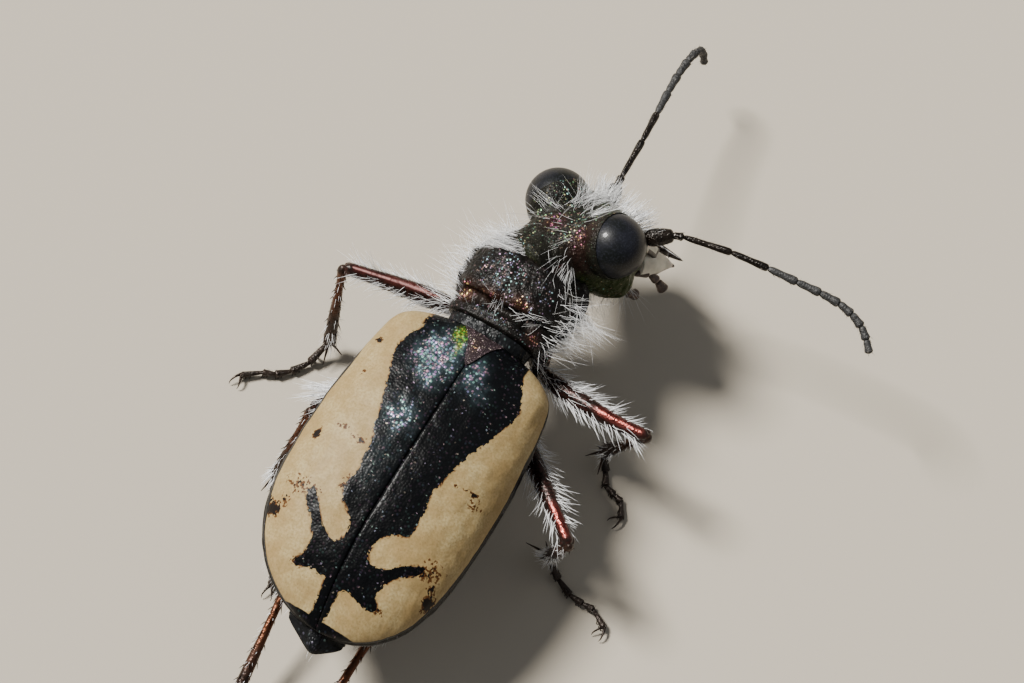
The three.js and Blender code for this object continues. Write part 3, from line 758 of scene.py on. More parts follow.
# Clouds of brown specks and small dark spots: place, half sizes, strength
SPECKS = {
    "left": [
        (2.45, 7.45, 0.5, 0.28, 0.62), (2.0, 7.5, 0.3, 0.2, 0.85), (3.1, 8.5, 0.34, 0.22, 1.5),
        (2.75, 8.1, 0.2, 0.22, 0.6), (3.5, 8.35, 0.2, 0.2, 1.2), (2.25, 5.15, 0.32, 0.1, 0.5),
        (1.5, 5.3, 0.34, 0.12, 0.54), (1.2, 6.75, 0.16, 0.3, 0.6), (3.07, 1.95, 0.17, 0.1, 1.5),
        (3.03, 5.74, 0.13, 0.17, 1.6), (1.5, 9.65, 0.14, 0.1, 0.8), (2.85, 3.19, 0.25, 0.12, 0.36),
    ],
    "right": [
        (2.75, 7.7, 0.45, 0.35, 0.56), (2.4, 7.85, 0.25, 0.2, 0.85), (3.0, 8.15, 0.16, 0.2, 0.9),
        (3.2, 8.55, 0.26, 0.26, 1.5), (3.55, 8.75, 0.25, 0.18, 1.2), (2.5, 4.87, 0.4, 0.1, 0.5),
        (2.57, 4.87, 0.12, 0.08, 1.4), (2.25, 4.88, 0.05, 0.05, 1.2), (1.85, 4.96, 0.08, 0.06, 1.2),
        (2.75, 5.15, 0.4, 0.2, 0.4), (1.65, 9.62, 0.16, 0.12, 0.8), (1.1, 7.25, 0.2, 0.12, 0.5),
    ],
}
# Painted sheen on the black, strongest on the left wing case, which faces the light: place, half sizes,
# strength
WING_PAINTED_SHEEN = {
    "left": [
        (0.95, 1.5, 0.54, 0.64, 1.2), (0.75, 2.3, 0.32, 0.35, 0.7), (0.9, 3.95, 0.48, 0.5, 0.44),
        (0.8, 5.3, 0.5, 1.0, 0.07), (0.4, 0.95, 0.24, 0.45, 0.5),
    ],
    "right": [(0.45, 1.5, 0.3, 0.5, 0.55), (0.9, 1.9, 0.3, 0.4, 0.18)],
}
# The painted yellow-green glint at the base of the left wing case
PAINTED_LIME_GLINT = {"left": [(0.72, 0.42, 0.13, 0.2, 1.0), (0.5, 0.8, 0.08, 0.34, 0.75)], "right": []}


def inside_distance(x, y, loop):
    """Distance to a closed line, positive inside it."""
    nearest = np.full(x.shape, 1e9)
    inside = np.zeros(x.shape, bool)
    for (ax, ay), (bx, by) in zip(loop, np.roll(loop, -1, 0)):
        dx, dy = bx - ax, by - ay
        t = np.clip(((x - ax) * dx + (y - ay) * dy) / max(dx * dx + dy * dy, TINY), 0, 1)
        nearest = np.minimum(nearest, np.hypot(x - ax - t * dx, y - ay - t * dy))
        if ay != by:
            crosses = (ay > y) != (by > y)
            inside ^= crosses & (x < ax + (y - ay) * dx / dy)
    return np.where(inside, nearest, -nearest)


def blobs(x, y, places):
    """The strongest of several soft spots at each point."""
    value = np.zeros(x.shape)
    for across, back, wide, long, strength in places:
        spot = np.exp(-((x - across) / wide) ** 2 - ((y - back) / long) ** 2)
        value = np.maximum(value, strength * spot)
    return value


def elytron(side, name, depth):
    """One surface of a wing case, depth below the outer one."""
    rows, columns = 230, 96
    v = np.linspace(0, 1, rows)[:, None]
    t = 0.998 * (v - 0.05 * np.sin(TURN * v)) + np.zeros((1, columns))
    angle = (np.linspace(0, 1, columns)[None, :] + 0 * t) * math.pi / 2
    width = np.maximum(0.12, elytra_half_width(t) - depth)
    height = np.maximum(0.03, elytra_height(t) - depth)
    x = SUTURE_EDGE + (width - SUTURE_EDGE) * np.sin(angle) ** DOME_POWER
    z = height * np.cos(angle) ** DOME_POWER
    steps = np.linalg.norm(np.diff(np.stack([x, z], -1), axis=1), axis=-1)
    out = np.concatenate([np.zeros((rows, 1)), np.cumsum(steps, 1)], 1)
    to_margin = out[:, -1:] - out
    back = t * ELYTRA_LENGTH
    own = np.stack([out * side, back, 0 * out], -1)
    if not depth:
        suture_bead = -0.035 * hump(out, 0.0, 0.07) - 0.008 * hump(out, 0.2, 0.09)
        gutter = -0.05 * hump(to_margin, 0.22, 0.1) + 0.015 * hump(to_margin, 0.05, 0.08)
        shoulder = 0.07 * hump(out, 2.75, 0.6) * hump(back, 0.75, 0.7)
        hollow = -0.09 * hump(out, 1.5, 0.5) * hump(back, 0.9, 0.9)
        waves = 0.012 * ripples(own, 1.3, 11) + 0.006 * ripples(own, 0.5, 12)
        lift = (suture_bead + gutter) * ramp(0.0, 0.6, back) + shoulder + hollow + waves
        normal_x, normal_z = -np.gradient(z, axis=1), np.gradient(x, axis=1)
        size = np.hypot(normal_x, normal_z) + 1e-9
        x = x + lift * normal_x / size
        z = z + lift * normal_z / size
    local = np.stack([rear_bend(t) + side * x, back, z], -1)
    border = 0.2 + 0.1 * ramp(9.0, 10.9, back) - 0.08 * (1 - ramp(0, 2.5, back))
    flank = border + FLANK_BORDERS[name] * ramp(1.5, 3, back) * ramp(11.5, 8, back)
    return Skin(
        put(local, BODY),
        False,
        own,
        dark=inside_distance(out, back, spline(BLACK_BAND[name], 320, closed=True)),
        rim=np.maximum(flank - to_margin, border - (ELYTRA_LENGTH - back) * 0.9),
        speck=blobs(out, back, SPECKS[name]),
        sheen=blobs(out, back, WING_PAINTED_SHEEN[name]),
        lime=blobs(out, back, PAINTED_LIME_GLINT[name]),
    )


def wing_cases():
    for name, side in SIDES.items():
        skins = (elytron(side, name, depth) for depth in (0, ELYTRON_THICKNESS))
        dress(f"elytron_{name}", shell_shape(*skins), WING)


# Scutellum


def scutellum():
    v = np.linspace(0, 1, 40)[:, None]
    u = np.linspace(-1, 1, 41)[None, :]
    half = 0.74 * (1 - v) ** 0.85 * (1 - 0.25 * np.sin(math.pi * v)) + 0.015
    x = u * half
    y = 0.02 + 1.28 * v + 0 * u
    top = elytra_height(y / ELYTRA_LENGTH) + 0.05 + 0.04 * (1 - u**2) * (1 - v) - 0.06 * x**2
    top = top - 0.06 * ramp(0.12, 0.0, v)
    rim = 0.015 * hump(np.abs(u), 0.95, 0.15) * (1 - v)
    warm = 0.6 * hump(u, 0.2, 0.5) * hump(v, 0.4, 0.3)
    surfaces = (np.stack([x, y, z], -1) for z in (top + rim, top - 0.3))
    skins = [Skin(put(p, BODY), False, p, warm=warm, sheen=0.35 + 0.3 * warm) for p in surfaces]
    dress("scutellum", shell_shape(*skins), SCUTE)


# Under-body

THORAX_WIDTHS = [(0, 1.25), (0.5, 1.8), (1.2, 2.15), (2.4, 2.4), (THORAX_REAR, 2.65)]
THORAX_DEPTHS = [(0, 1.45), (1.0, 1.9), (3.0, 2.05), (THORAX_REAR, 2.0)]


# Space under the wing cases, and the share of a half ring at which their shelf ends
UNDER_GAP = 0.1
SHELF_END = 0.45
# Rings of the waist: half width, top, bottom and place
WAIST_RINGS = ((1.58, 0.9, 1.2, 1.5), (1.42, 0.87, 1.3, 0.14))


def under_body(y, angle, narrow, outer, depth, shift):
    """A section of the trunk under the wing cases, in the body's frame."""
    t = np.clip(y / ELYTRA_LENGTH, 0, 1)
    cover = ELYTRON_THICKNESS + UNDER_GAP
    top = elytra_height(t) - cover
    shelf = np.minimum(-0.06, top - 0.1)
    inner = np.maximum(0.3, elytra_half_width(t) - cover) * narrow
    outer = np.maximum(0.35, outer)
    side = np.sign(np.sin(angle))
    turn = np.abs(angle) / math.pi
    upper = np.clip(turn / SHELF_END, 0, 1) * math.pi / 2
    lower = np.clip((turn - SHELF_END) / (1 - SHELF_END), 0, 1) * math.pi / 2
    x_up = inner * np.sin(upper) ** DOME_POWER
    z_up = shelf + (top - shelf) * np.cos(upper) ** DOME_POWER
    x_low = outer * np.maximum(0, np.cos(lower)) ** 0.9
    z_low = shelf - 0.12 - (depth + shelf - 0.12) * np.sin(lower) ** 0.85
    below = turn >= SHELF_END
    x, z = np.where(below, x_low, x_up), np.where(below, z_low, z_up)
    return np.stack([rear_bend(t) + side * x + shift, y, z], -1)


def waist():
    """The ring that fills the waist, from inside the pronotum's rear to under the wing cases."""
    angle = np.linspace(-math.pi, math.pi, 140, endpoint=False)
    rings = []
    for half, top, bottom, y in WAIST_RINGS:
        height = np.where(np.cos(angle) > 0, top, bottom)
        ring = [half * bow(np.sin(angle), 0.85), 0 * angle + y, height * bow(np.cos(angle), 0.85)]
        rings.append(np.stack(ring, -1))
    front, rear = put(rings[0], PROTHORAX, BODY), put(rings[1], BODY)
    v = np.linspace(0, 1, 30)[:, None, None]
    local = mix(rings[0] - (0, 2.0, 0), rings[1], v)
    return closed_shape(Skin(mix(front, rear, v), own=local).lifted(0.012 * ripples(local, 0.4, 23)))


def hind_thorax():
    """The two hind rings of the thorax, with the seams of their side plates."""
    _, y, angle = ring_grid(-0.3, THORAX_REAR + 0.15, 90, 120)
    local = under_body(y, angle, 1, along(THORAX_WIDTHS, y), along(THORAX_DEPTHS, y), 0)
    turn = np.abs(angle) / math.pi
    seams = hump(y, 1.35 + 0.5 * (turn - 0.6), 0.06) * ramp(0.45, 0.5, turn)
    seams += hump(y, 3.0 + 0.8 * (turn - 0.75), 0.06) * ramp(0.5, 0.55, turn)
    seams += hump(turn, 0.66, 0.012) * ramp(1.4, 1.6, y)
    seams += hump(turn, 1.0, 0.006) * 0.8
    skin = Skin(put(local, BODY), own=local, warm=0.3, sheen=0.2)
    skin.lifted(-0.06 * np.clip(seams, 0, 1) + 0.012 * ripples(local, 0.5, 21))
    dress("pterothorax", joined([closed_shape(skin), waist()]), BELLY)
    return skin


SEGMENT_EDGES = (5.6, 6.9, 8.1, 9.2, 10.2, 11.0)


def abdomen():
    """The abdomen, with the hind edges of its rings stepped over the next."""
    end = ELYTRA_LENGTH + TAIL_REACH
    _, y, angle = ring_grid(THORAX_REAR + 0.1, end, 170, 110)
    t = y / ELYTRA_LENGTH
    turn = np.abs(angle) / math.pi
    tail = np.clip((y - 9.6) / (end - 9.6), 0, 1)
    wide = np.minimum(elytra_half_width(np.minimum(t, 0.97)) - 0.4, 2.9)
    outer = np.where(t < 0.9, wide, np.minimum(wide, mix(2.1, 0.45, tail**1.3)))
    depth = mix(BELLY_DEPTH, 0.8, np.clip((y - 5) / 6.5, 0, 1) ** 2)
    shift = -0.18 * np.clip((t - 1) / 0.05, 0, 1)
    local = under_body(y, angle, mix(1, 0.85, tail), outer, depth, shift)
    step = np.zeros(y.shape)
    for edge in SEGMENT_EDGES:
        step += 0.05 * ramp(edge - 0.5, edge, y) * (y < edge) - 0.03 * hump(y, edge + 0.04, 0.05)
    skin = Skin(put(local, BODY), own=local, warm=0.15 * (1 - tail), sheen=0.15 * (1 - tail))
    seam = 0.04 * hump(turn, 0.52, 0.012)
    skin.lifted(step * ramp(0.44, 0.5, turn) - seam + 0.01 * ripples(local, 0.6, 22))
    middle = skin.points.mean(1, keepdims=True)
    blunt = round_end((end + 0.01 - y) / 0.76)
    skin.points = middle + (skin.points - middle) * blunt[..., None]
    dress("abdomen", closed_shape(skin), BELLY)
    return skin


# Prothorax

PRONOTUM_FRONT = -1.72
PRONOTUM_REAR = 1.7
PRONOTUM_WIDTHS = [
    (-1.72, 1.25), (-1.45, 1.45), (-1.18, 1.5), (-0.75, 1.83), (-0.2, 1.95), (0.4, 1.93),
    (0.9, 1.83), (1.15, 1.7), (1.4, 1.76), (1.7, 1.68),
]
PRONOTUM_TOPS = [
    (-1.72, 0.95), (-1.45, 1.12), (-1.18, 1.02), (-0.75, 1.27), (-0.2, 1.38), (0.4, 1.37),
    (0.9, 1.24), (1.15, 1.02), (1.4, 1.08), (1.7, 0.95),
]
PRONOTUM_BOTTOMS = [(-1.72, 1.15), (-0.8, 1.45), (0.6, 1.5), (1.7, 1.3)]
PLEURON_WIDTHS = [
    (-1.72, 1.3), (-1.4, 1.85), (-0.9, 2.2), (-0.2, 2.28), (0.5, 2.15), (1.1, 1.85), (1.7, 1.6),
]
# Where the pronotum turns coppery, and where it has painted sheen, mostly on its left half, which faces
# the light: place, half sizes, strength
PRONOTUM_COPPER = [
    (1.35, 0.98, 0.3, 0.28, 1.0), (0.4, 0.85, 0.6, 0.22, 0.55), (-0.65, 0.68, 0.38, 0.26, 0.6),
    (-1.55, 1.35, 0.22, 0.22, 0.8), (-0.5, -1.2, 0.42, 0.24, 0.7),
]
PRONOTUM_PAINTED_SHEEN = [
    (0.5, -0.2, 0.62, 0.5, 0.4), (0.3, 0.6, 0.55, 0.3, 0.34), (-1.1, 0.1, 0.5, 0.6, 0.1),
    (-0.7, 0.6, 0.35, 0.22, 0.3), (-0.5, -1.2, 0.42, 0.22, 0.5), (0.3, 1.35, 0.5, 0.13, 0.45),
    (1.35, 0.98, 0.25, 0.22, 0.7), (-1.55, 1.35, 0.2, 0.2, 0.6), (1.1, -1.2, 0.5, 0.3, 0.12),
]


def prothorax():
    """The prothorax with its two cross grooves, middle line, rims and side seam."""
    v, y, angle = ring_grid(PRONOTUM_FRONT - 0.05, PRONOTUM_REAR + 0.08, 190, 220)
    upper = ramp(-0.12, 0.12, np.cos(angle))
    half = mix(along(PLEURON_WIDTHS, y), along(PRONOTUM_WIDTHS, y), upper)
    height = mix(along(PRONOTUM_BOTTOMS, y), along(PRONOTUM_TOPS, y), upper)
    local = np.stack([half * bow(np.sin(angle), 0.85), y, height * bow(np.cos(angle), 0.85)], -1)
    x = local[..., 0]
    top = ramp(0.1, 0.5, np.cos(angle))
    front_groove = hump(y, -1.1 + 0.1 * np.abs(x), 0.12)
    rear_groove = hump(y, 1.12 - 0.1 * np.abs(x), 0.13)
    rim = hump(y, 1.62, 0.07)
    middle = hump(x, 0, 0.06) * ramp(-1.2, -0.9, y) * ramp(1.3, 1.0, y)
    seam = hump(np.cos(angle), -0.02, 0.035)
    pits = hump(np.abs(x), 1.15, 0.3) * hump(y, 1.1, 0.25)
    waves = (0.022 * ripples(local, 0.55, 31) + 0.012 * ripples(local, 0.22, 32)) * ramp(1.6, 1.3, y)
    lift = top * (-0.13 * front_groove - 0.17 * rear_groove - 0.09 * middle + 0.05 * rim - 0.14 * pits)
    full = round_end(v / 0.05, 0.3) * round_end((1 - v) / 0.03, 0.4)
    local = local * np.stack([full, np.ones(v.shape), full], -1)
    warm, sheen = (blobs(x, y, spots) * top for spots in (PRONOTUM_COPPER, PRONOTUM_PAINTED_SHEEN))
    skin = Skin(put(local, PROTHORAX, BODY), own=local, warm=warm, sheen=sheen)
    skin.lifted(lift - 0.07 * seam + waves)
    dress("prothorax", closed_shape(skin), SHELL)
    return skin


# Head

HEAD_FRONT = -1.95
HEAD_REAR = 2.1
HEAD_WIDTHS = [
    (-1.95, 0.95), (-1.6, 1.2), (-1.1, 1.4), (-0.5, 1.58), (0, 1.64), (0.6, 1.6), (1.1, 1.45),
    (1.6, 1.22), (2.1, 1.05),
]
HEAD_TOPS = [
    (-1.95, -0.62), (-1.6, -0.12), (-1.1, 0.45), (-0.5, 0.74), (0, 0.78), (0.6, 0.68), (1.1, 0.5),
    (1.6, 0.3), (2.1, 0.15),
]
HEAD_BOTTOMS = [
    (-1.95, -1.5), (-1.5, -2.0), (-0.9, -2.3), (0, -2.35), (0.8, -2.0), (1.5, -1.6), (2.1, -1.3),
]
ANTENNA_SOCKET = (1.08, -1.55, -0.42)
# Eyes in the head's frame: centre and radius
EYES = {"left": ((1.6, 0.06, 0.11), 1.12), "right": ((-1.52, 0.03, -0.08), 1.1)}
# The way the left eye looks out of its socket, and how far out the sockets' rims lie on the eyes
EYE_WAY = unit(np.array([0.92, -0.23, 0.32]))
RIM_SHARES = {"left": -0.08, "right": 0.15}
SOCKET_WALL = 0.035
# The swelling of the left cheek under the eye: centre, height and size
CHEEK = ((1.42, -0.38, -1.72), 0.42, 0.6)
# The socket's wall: degrees behind its rim, and height over the eye
SOCKET_PROFILE = [
    (22, -0.1), (6, -0.06), (0, -0.01), (-1.5, 0.03), (1, SOCKET_WALL), (8, SOCKET_WALL + 0.02),
    (20, SOCKET_WALL + 0.01), (50, SOCKET_WALL), (80, SOCKET_WALL),
]


def head():
    """The head capsule with its dipped brow, eye sockets and cheeks."""
    v, y, angle = ring_grid(HEAD_FRONT - 0.22, HEAD_REAR + 0.55, 210, 240)
    high, low = along(HEAD_TOPS, y), along(HEAD_BOTTOMS, y)
    dip = 0.22 * np.maximum(0, np.cos(angle)) ** 8 * np.clip(1 - np.abs(y) / 1.6, 0, 1)
    full = round_end(v / 0.07, 0.1)
    x = along(HEAD_WIDTHS, y) * bow(np.sin(angle), 0.72) * full
    z = mix(low, high, 0.5 + 0.5 * full * bow(np.cos(angle), 0.72)) - dip
    local = np.stack([x, y, z], -1)
    lift = 0.016 * ripples(local, 0.5, 41) + 0.01 * ripples(local, 0.2, 42)
    cheek, cheek_height, cheek_size = CHEEK
    for name, side in SIDES.items():
        centre, radius = EYES[name]
        places = centre, *(np.array(place) * (side, 1, 1) for place in (ANTENNA_SOCKET, cheek))
        from_eye, from_feeler, from_cheek = (np.linalg.norm(local - p, axis=-1) for p in places)
        lift += 0.12 * hump(np.maximum(from_eye - radius - SOCKET_WALL, 0), 0, 0.22)
        lift += 0.1 * hump(from_feeler, 0.36, 0.1) - 0.22 * hump(from_feeler, 0, 0.22)
        lift += cheek_height * hump(from_cheek, 0, cheek_size)
    front = hump(y, -1.62, 0.07) * ramp(0.0, 0.4, np.cos(angle))
    cheek_line = hump(y, -0.75 - 0.35 * z, 0.05) * ramp(-0.7, -1.0, z) * ramp(-0.2, -0.6, np.cos(angle))
    skin = Skin(put(local, HEAD, BODY), own=local, **head_tones(local))
    skin.lifted(lift - 0.07 * front - 0.05 * cheek_line)
    dress("head", joined([closed_shape(skin), *map(socket, SIDES)]), HEAD_SHELL)
    return skin


def head_tones(local):
    """Where the head is coppery or green, and where its crown has painted sheen, by place in its own
    frame.
    """
    x, y, z = np.moveaxis(local, -1, 0)
    nape = hump(x, 0.1, 0.35) * hump(y, 1.3, 0.35) * (z > 0)
    warm = np.maximum(nape, 0.55 * hump(x, -1.1, 0.4) * hump(y, 1.1, 0.5))
    green = np.maximum(ramp(-0.7, -1.2, z), 0.5 * ramp(-0.2, -0.6, y) * (z > 0))
    crest = ramp(-0.1, 0.25, z) * ramp(-0.9, -0.3, y) * ramp(1.7, 1.2, np.abs(x))
    # Painted sheen in spots on the crown, the top of the head.
    crown_painted_sheen = 0.07 + 0.5 * hump(x, 0.1, 0.28) * hump(y, 1.3, 0.25)
    crown_painted_sheen = crown_painted_sheen + 0.34 * hump(x, -0.55, 0.5) * hump(y, 1.1, 0.45) + 0.1 * hump(x, 1.0, 0.3)
    return {"warm": warm, "green": green, "sheen": crest * crown_painted_sheen + 0.05 * green}


def socket(name):
    """The cup of shell that holds the inner half of an eye, with a rounded rim."""
    centre, radius = EYES[name]
    way = EYE_WAY * (SIDES[name], 1, 1)
    across = unit(np.cross(way, (0, 0, 1)))
    over = np.cross(across, way)
    rim = math.degrees(math.acos(RIM_SHARES[name]))
    polar, height = spline([(rim + turn, wall) for turn, wall in SOCKET_PROFILE], 70).T
    polar = np.radians(polar)[:, None, None]
    angle = np.linspace(0, TURN, 150, endpoint=False)[None, :, None]
    facing = np.cos(polar) * way + np.sin(polar) * (np.cos(angle) * across + np.sin(angle) * over)
    local = np.array(centre) + (radius + height)[:, None, None] * facing
    return closed_shape(Skin(put(local, HEAD, BODY), own=local, **head_tones(local)))


def eyes():
    v = np.linspace(0.002, 0.998, 90)[:, None] * math.pi
    angle = np.linspace(0, TURN, 120, endpoint=False)[None, :]
    ball = np.stack([np.cos(v) + 0 * angle, np.sin(v) * np.cos(angle), np.sin(v) * np.sin(angle)], -1)
    for name, (centre, radius) in EYES.items():
        local = ball * radius + centre
        dress(f"eye_{name}", closed_shape(Skin(put(local, HEAD, BODY), own=local)), EYE)


def labrum():
    """The lip plate, with blunt teeth along its front edge."""
    v = np.linspace(0, 1, 40)[:, None]
    across = np.linspace(-1, 1, 90)[None, :] + 0 * v
    teeth = 0.05 * np.cos(5 * math.pi * across) + 0.16 * hump(across, 0, 0.13)
    y = mix(HEAD_FRONT - 0.08 + 0.3 * across**2, -2.92 + 0.42 * across**2 - teeth, v)
    z = -0.66 - 0.62 * v - 0.28 * across**2 + 0.05 * np.sin(math.pi * v)
    x = (0.99 - 0.12 * v) * across
    # Dark front edge and outer margins: partly the lip's own dark teeth, partly painted shadow along
    # its front edge.
    dark = np.maximum(ramp(0.86, 0.95, v), ramp(0.93, 0.98, np.abs(across)) * ramp(0.3, 0.5, v))
    thick = 0.16 - 0.06 * v
    surfaces = (np.stack(point, -1) for point in ((x, y, z), (x, y + 0.07, z - thick)))
    skins = [Skin(put(p, HEAD, BODY), False, p, dark=dark) for p in surfaces]
    dress("labrum", shell_shape(*skins), MOUTH)


# Each jaw: its line from the hinge to the tip, how wide it is along it, the way of its broad
# side, the way its outer face looks, how far along it the ivory ends, far end first, and its teeth
MANDIBLES = {
    "left": {
        "path": [(1.15, -1.75, -1.5), (1.42, -2.45, -1.75), (0.9, -3.2, -1.98), (-0.82, -3.73, -2.13)],
        "widths": [(0, 0.46), (0.5, 0.27), (0.8, 0.15), (1, 0.035)],
        "broad": head_way(-0.35, -0.3, 0.9),
        "outward": (1, -0.35, 0.2),
        "pale": (0.72, 0.6),
        "teeth": (0.5, 0.64, 0.78),
    },
    "right": {
        "path": [
            (-0.74, -1.8, -1.66), (-0.72, -2.3, -1.82), (-0.68, -2.86, -2.02), (-0.77, -3.36, -2.24),
            (-0.2, -3.6, -2.6),
        ],
        "widths": [
            (0, 0.44), (0.25, 0.45), (0.44, 0.34), (0.56, 0.2), (0.63, 0.09), (0.7, 0.045), (1, 0.03),
        ],
        "broad": CAMERA_UP,
        "outward": (-1, 0.3, 0.5),
        "pale": (0.67, 0.62),
        "teeth": (0.24, 0.35, 0.46),
    },
}
TOOTH_SIZES = (0.5, 0.42, 0.34)
JAW_STEPS = 60


def mandibles():
    """The sickle jaws: ivory outside at the base, dark toward the toothed tips."""
    for name, jaw in MANDIBLES.items():
        line = spline(jaw["path"], JAW_STEPS)
        middle = put(line, HEAD, BODY)
        s = np.linspace(0, 1, JAW_STEPS)
        radii = along(jaw["widths"], s) * np.clip(1 - np.clip(s - 0.96, 0, 1) / 0.042, 0.02, 1)
        skin = tube(middle, radii, 28, 0.6, up=jaw["broad"])
        out = (skin.points - middle[:, None]) / np.maximum(radii, 0.04)[:, None, None]
        facing = out @ unit(head_way(*jaw["outward"]))
        edge = np.abs(out @ unit(np.array(jaw["broad"])))
        s = s[:, None]
        pale = ramp(-0.5, -0.1, facing) * ramp(*jaw["pale"], s)
        skin.paint(dark=np.maximum(1 - pale, 0.7 * ramp(0.9, 0.98, edge) * ramp(0.15, 0.4, s)))
        shapes = [closed_shape(skin)]
        for place, size in zip(jaw["teeth"], TOOTH_SIZES):
            root = line[int(place * (JAW_STEPS - 1))]
            tip = root + (-SIDES[name] * size, 0.12, -0.05)
            tooth = spline([root, (root + tip) / 2 + (0, -0.06, 0), tip], 12)
            tooth_skin = tube(put(tooth, HEAD, BODY), np.linspace(0.13, 0.015, 12), 12, 0.7)
            shapes.append(closed_shape(tooth_skin.paint(dark=1)))
        dress(f"mandible_{name}", joined(shapes), MOUTH)


PALPS = {
    "maxillary": [(0.88, -1.5, -1.95), (0.92, -2.15, -2.1), (1.02, -2.48, -2.45), (1.14, -2.72, -2.84)],
    "labial": [(0.32, -1.1, -2.2), (0.4, -1.5, -2.85), (0.42, -1.8, -3.1), (0.34, -2.15, -3.25)],
}
PALP_RADII = (0.15, 0.16, 0.2)
PALP_PROFILE = [(0, 0.6), (0.5, 0.85), (0.85, 1), (1, 0.8)]


def palps():
    """Four palps of three joints, each with a pale ring where they meet."""
    for name, path in PALPS.items():
        for hand, side in SIDES.items():
            points = put(np.array(path) * (side, 1, 1), HEAD, BODY)
            shapes = []
            for a, b, wide in zip(points[:-1], points[1:], PALP_RADII):
                skin = bead(a, b, PALP_PROFILE, 14, 18, 0.15, 0.18, wide)
                shapes.append(closed_shape(skin.paint(dull=ramp(0.86, 0.97, skin.along))))
            dress(f"{name}_palp_{hand}", joined(shapes), PALP)


# Antennae

ANTENNA_LENGTHS = (0.95, 0.32, 1.6, 1.26, 1.0, 0.81, 0.66, 0.53, 0.48, 0.45, 0.42)
ANTENNA_RADII = (0.28, 0.14, 0.12, 0.125, 0.14, 0.145, 0.15, 0.15, 0.15, 0.145, 0.135)
ANTENNAE = {
    "left": [
        (-0.88, -6.7, 4.05), (-0.8, -7.81, 4.52), (-0.69, -9.71, 4.3), (-0.46, -12.3, 3.82),
        (-0.5, -13.6, 3.64), (-0.65, -14.15, 3.2), (-0.87, -14.17, 2.37),
    ],
    "right": [
        (-2.63, -6.05, 5.22), (-3.6, -6.65, 5.5), (-5.45, -7.05, 5.68), (-7.86, -7.31, 5.74),
        (-9.39, -7.4, 5.77), (-10.43, -7.11, 5.66), (-11.08, -6.53, 5.43),
    ],
}


def on_body(point):
    """A point given with the body at x = y = 0, in the model's frame."""
    point = tuple(point) if len(point) == 3 else (*point, FOOT_HEIGHT)
    return np.array(point) + (*BODY_PLACE, 0)


def joints_along(points, shares):
    """Where the joints of a feeler or foot fall on its line."""
    line = spline(points, 400)
    marks = np.concatenate([[0], np.cumsum(shares)]) / np.sum(shares)
    return line[np.round(marks * 399).astype(int)]


DOWNY_FROM = 4
SCAPE_PROFILE = [(0, 0.6), (0.2, 1), (0.6, 1.05), (1, 0.75)]


def antennae():
    """Eleven joints each: four polished ones, then seven under grey down."""
    skins = []
    for name, path in ANTENNAE.items():
        points = joints_along([on_body(p) for p in path], ANTENNA_LENGTHS)
        tubes = []
        for k, (a, b, wide) in enumerate(zip(points[:-1], points[1:], ANTENNA_RADII)):
            downy = k >= DOWNY_FROM
            long = np.linalg.norm(b - a)
            profile = [(0, 0.55 if downy else 0.6), (0.12, 0.8), (0.5, 0.9), (0.88, 1.08), (1, 1)]
            if k == 0:
                profile = SCAPE_PROFILE
            start = a - (b - a) / long * 0.05
            skin = bead(start, b, profile, 16, 24, 0.06, min(0.3, 0.1 / long), wide)
            tubes.append(skin.paint(dull=float(downy)))
        dress(f"antenna_{name}", joined([closed_shape(skin) for skin in tubes]), FEELER)
        skins += tubes
    return skins


# Legs

HIPS = {
    "front_left": (0.75, -2.3, -1.35), "front_right": (-0.95, -2.35, -1.2),
    "middle_left": (1.1, 0.95, -1.9), "middle_right": (-1.1, 0.95, -1.9),
    "hind_left": (0.75, 3.6, -2.05), "hind_right": (-0.75, 3.6, -2.05),
}
LEGS = {
    "front_left": {
        "trochanter": (1.3, -1.25, 3.1), "knee": (5.44, 0.09, 4.48), "ankle": (4.99, 1.44, 0.78),
        "spurs": ((-0.2, 0.7), (-0.55, 0.05)),
        "foot": ((5.28, 2.38), (5.9, 3.2), (6.7, 3.6), (7.0, 3.95)), "claws": (0.05, 1),
    },
    "front_right": {
        "trochanter": (-1.85, -0.8, 3.1), "knee": (-6.25, -0.28, 4.6), "ankle": (-5.08, -0.3, 0.78),
        "spurs": ((-0.2, 0.7), (0.5, 0.35)),
        "foot": ((-5.44, 0.06), (-5.69, 0.55), (-6.51, 0.78), (-6.75, 1.25)), "claws": (0.5, 0.85),
    },
    "middle_left": {
        "trochanter": (1.85, 0.95, 2.85), "knee": (3.75, 4.7, 3.85), "ankle": (3.95, 6.5, 0.78),
        "spurs": ((-0.8, 0.1), (0.2, 0.6)),
        "foot": ((3.7, 7.25), (3.05, 8.1), (2.4, 9.0), (2.1, 9.7)), "claws": (-0.2, 1),
    },
    "middle_right": {
        "trochanter": (-1.95, 1.05, 2.85), "knee": (-5.9, 4.33, 4.59), "ankle": (-5.33, 3.91, 0.78),
        "spurs": ((0.9, -0.1), (0.35, -0.5)),
        "foot": ((-5.94, 4.24), (-6.78, 4.58), (-7.6, 4.55), (-8.2, 4.9)), "claws": (0.2, 0.95),
    },
    "hind_left": {
        "trochanter": (1.5, 4.25, 2.4), "knee": (1.45, 9.6, 2.25), "ankle": (0.85, 14.6, 0.78),
        "spurs": ((-0.35, 0.6), (0.55, 0.25)),
        "foot": ((0.85, 15.4), (1.1, 16.5), (1.45, 17.6), (1.6, 18.2)), "claws": (0.25, 0.95),
    },
    "hind_right": {
        "trochanter": (-1.5, 4.25, 2.4), "knee": (-1.85, 9.6, 2.25), "ankle": (-1.75, 14.5, 0.78),
        "spurs": ((0.4, 0.6), (-0.55, 0.3)),
        "foot": ((-1.85, 15.3), (-2.2, 16.3), (-2.7, 17.3), (-2.9, 17.9)), "claws": (-0.3, 0.95),
    },
}
FOOT_SHARES = (0.3, 0.2, 0.16, 0.12, 0.22)
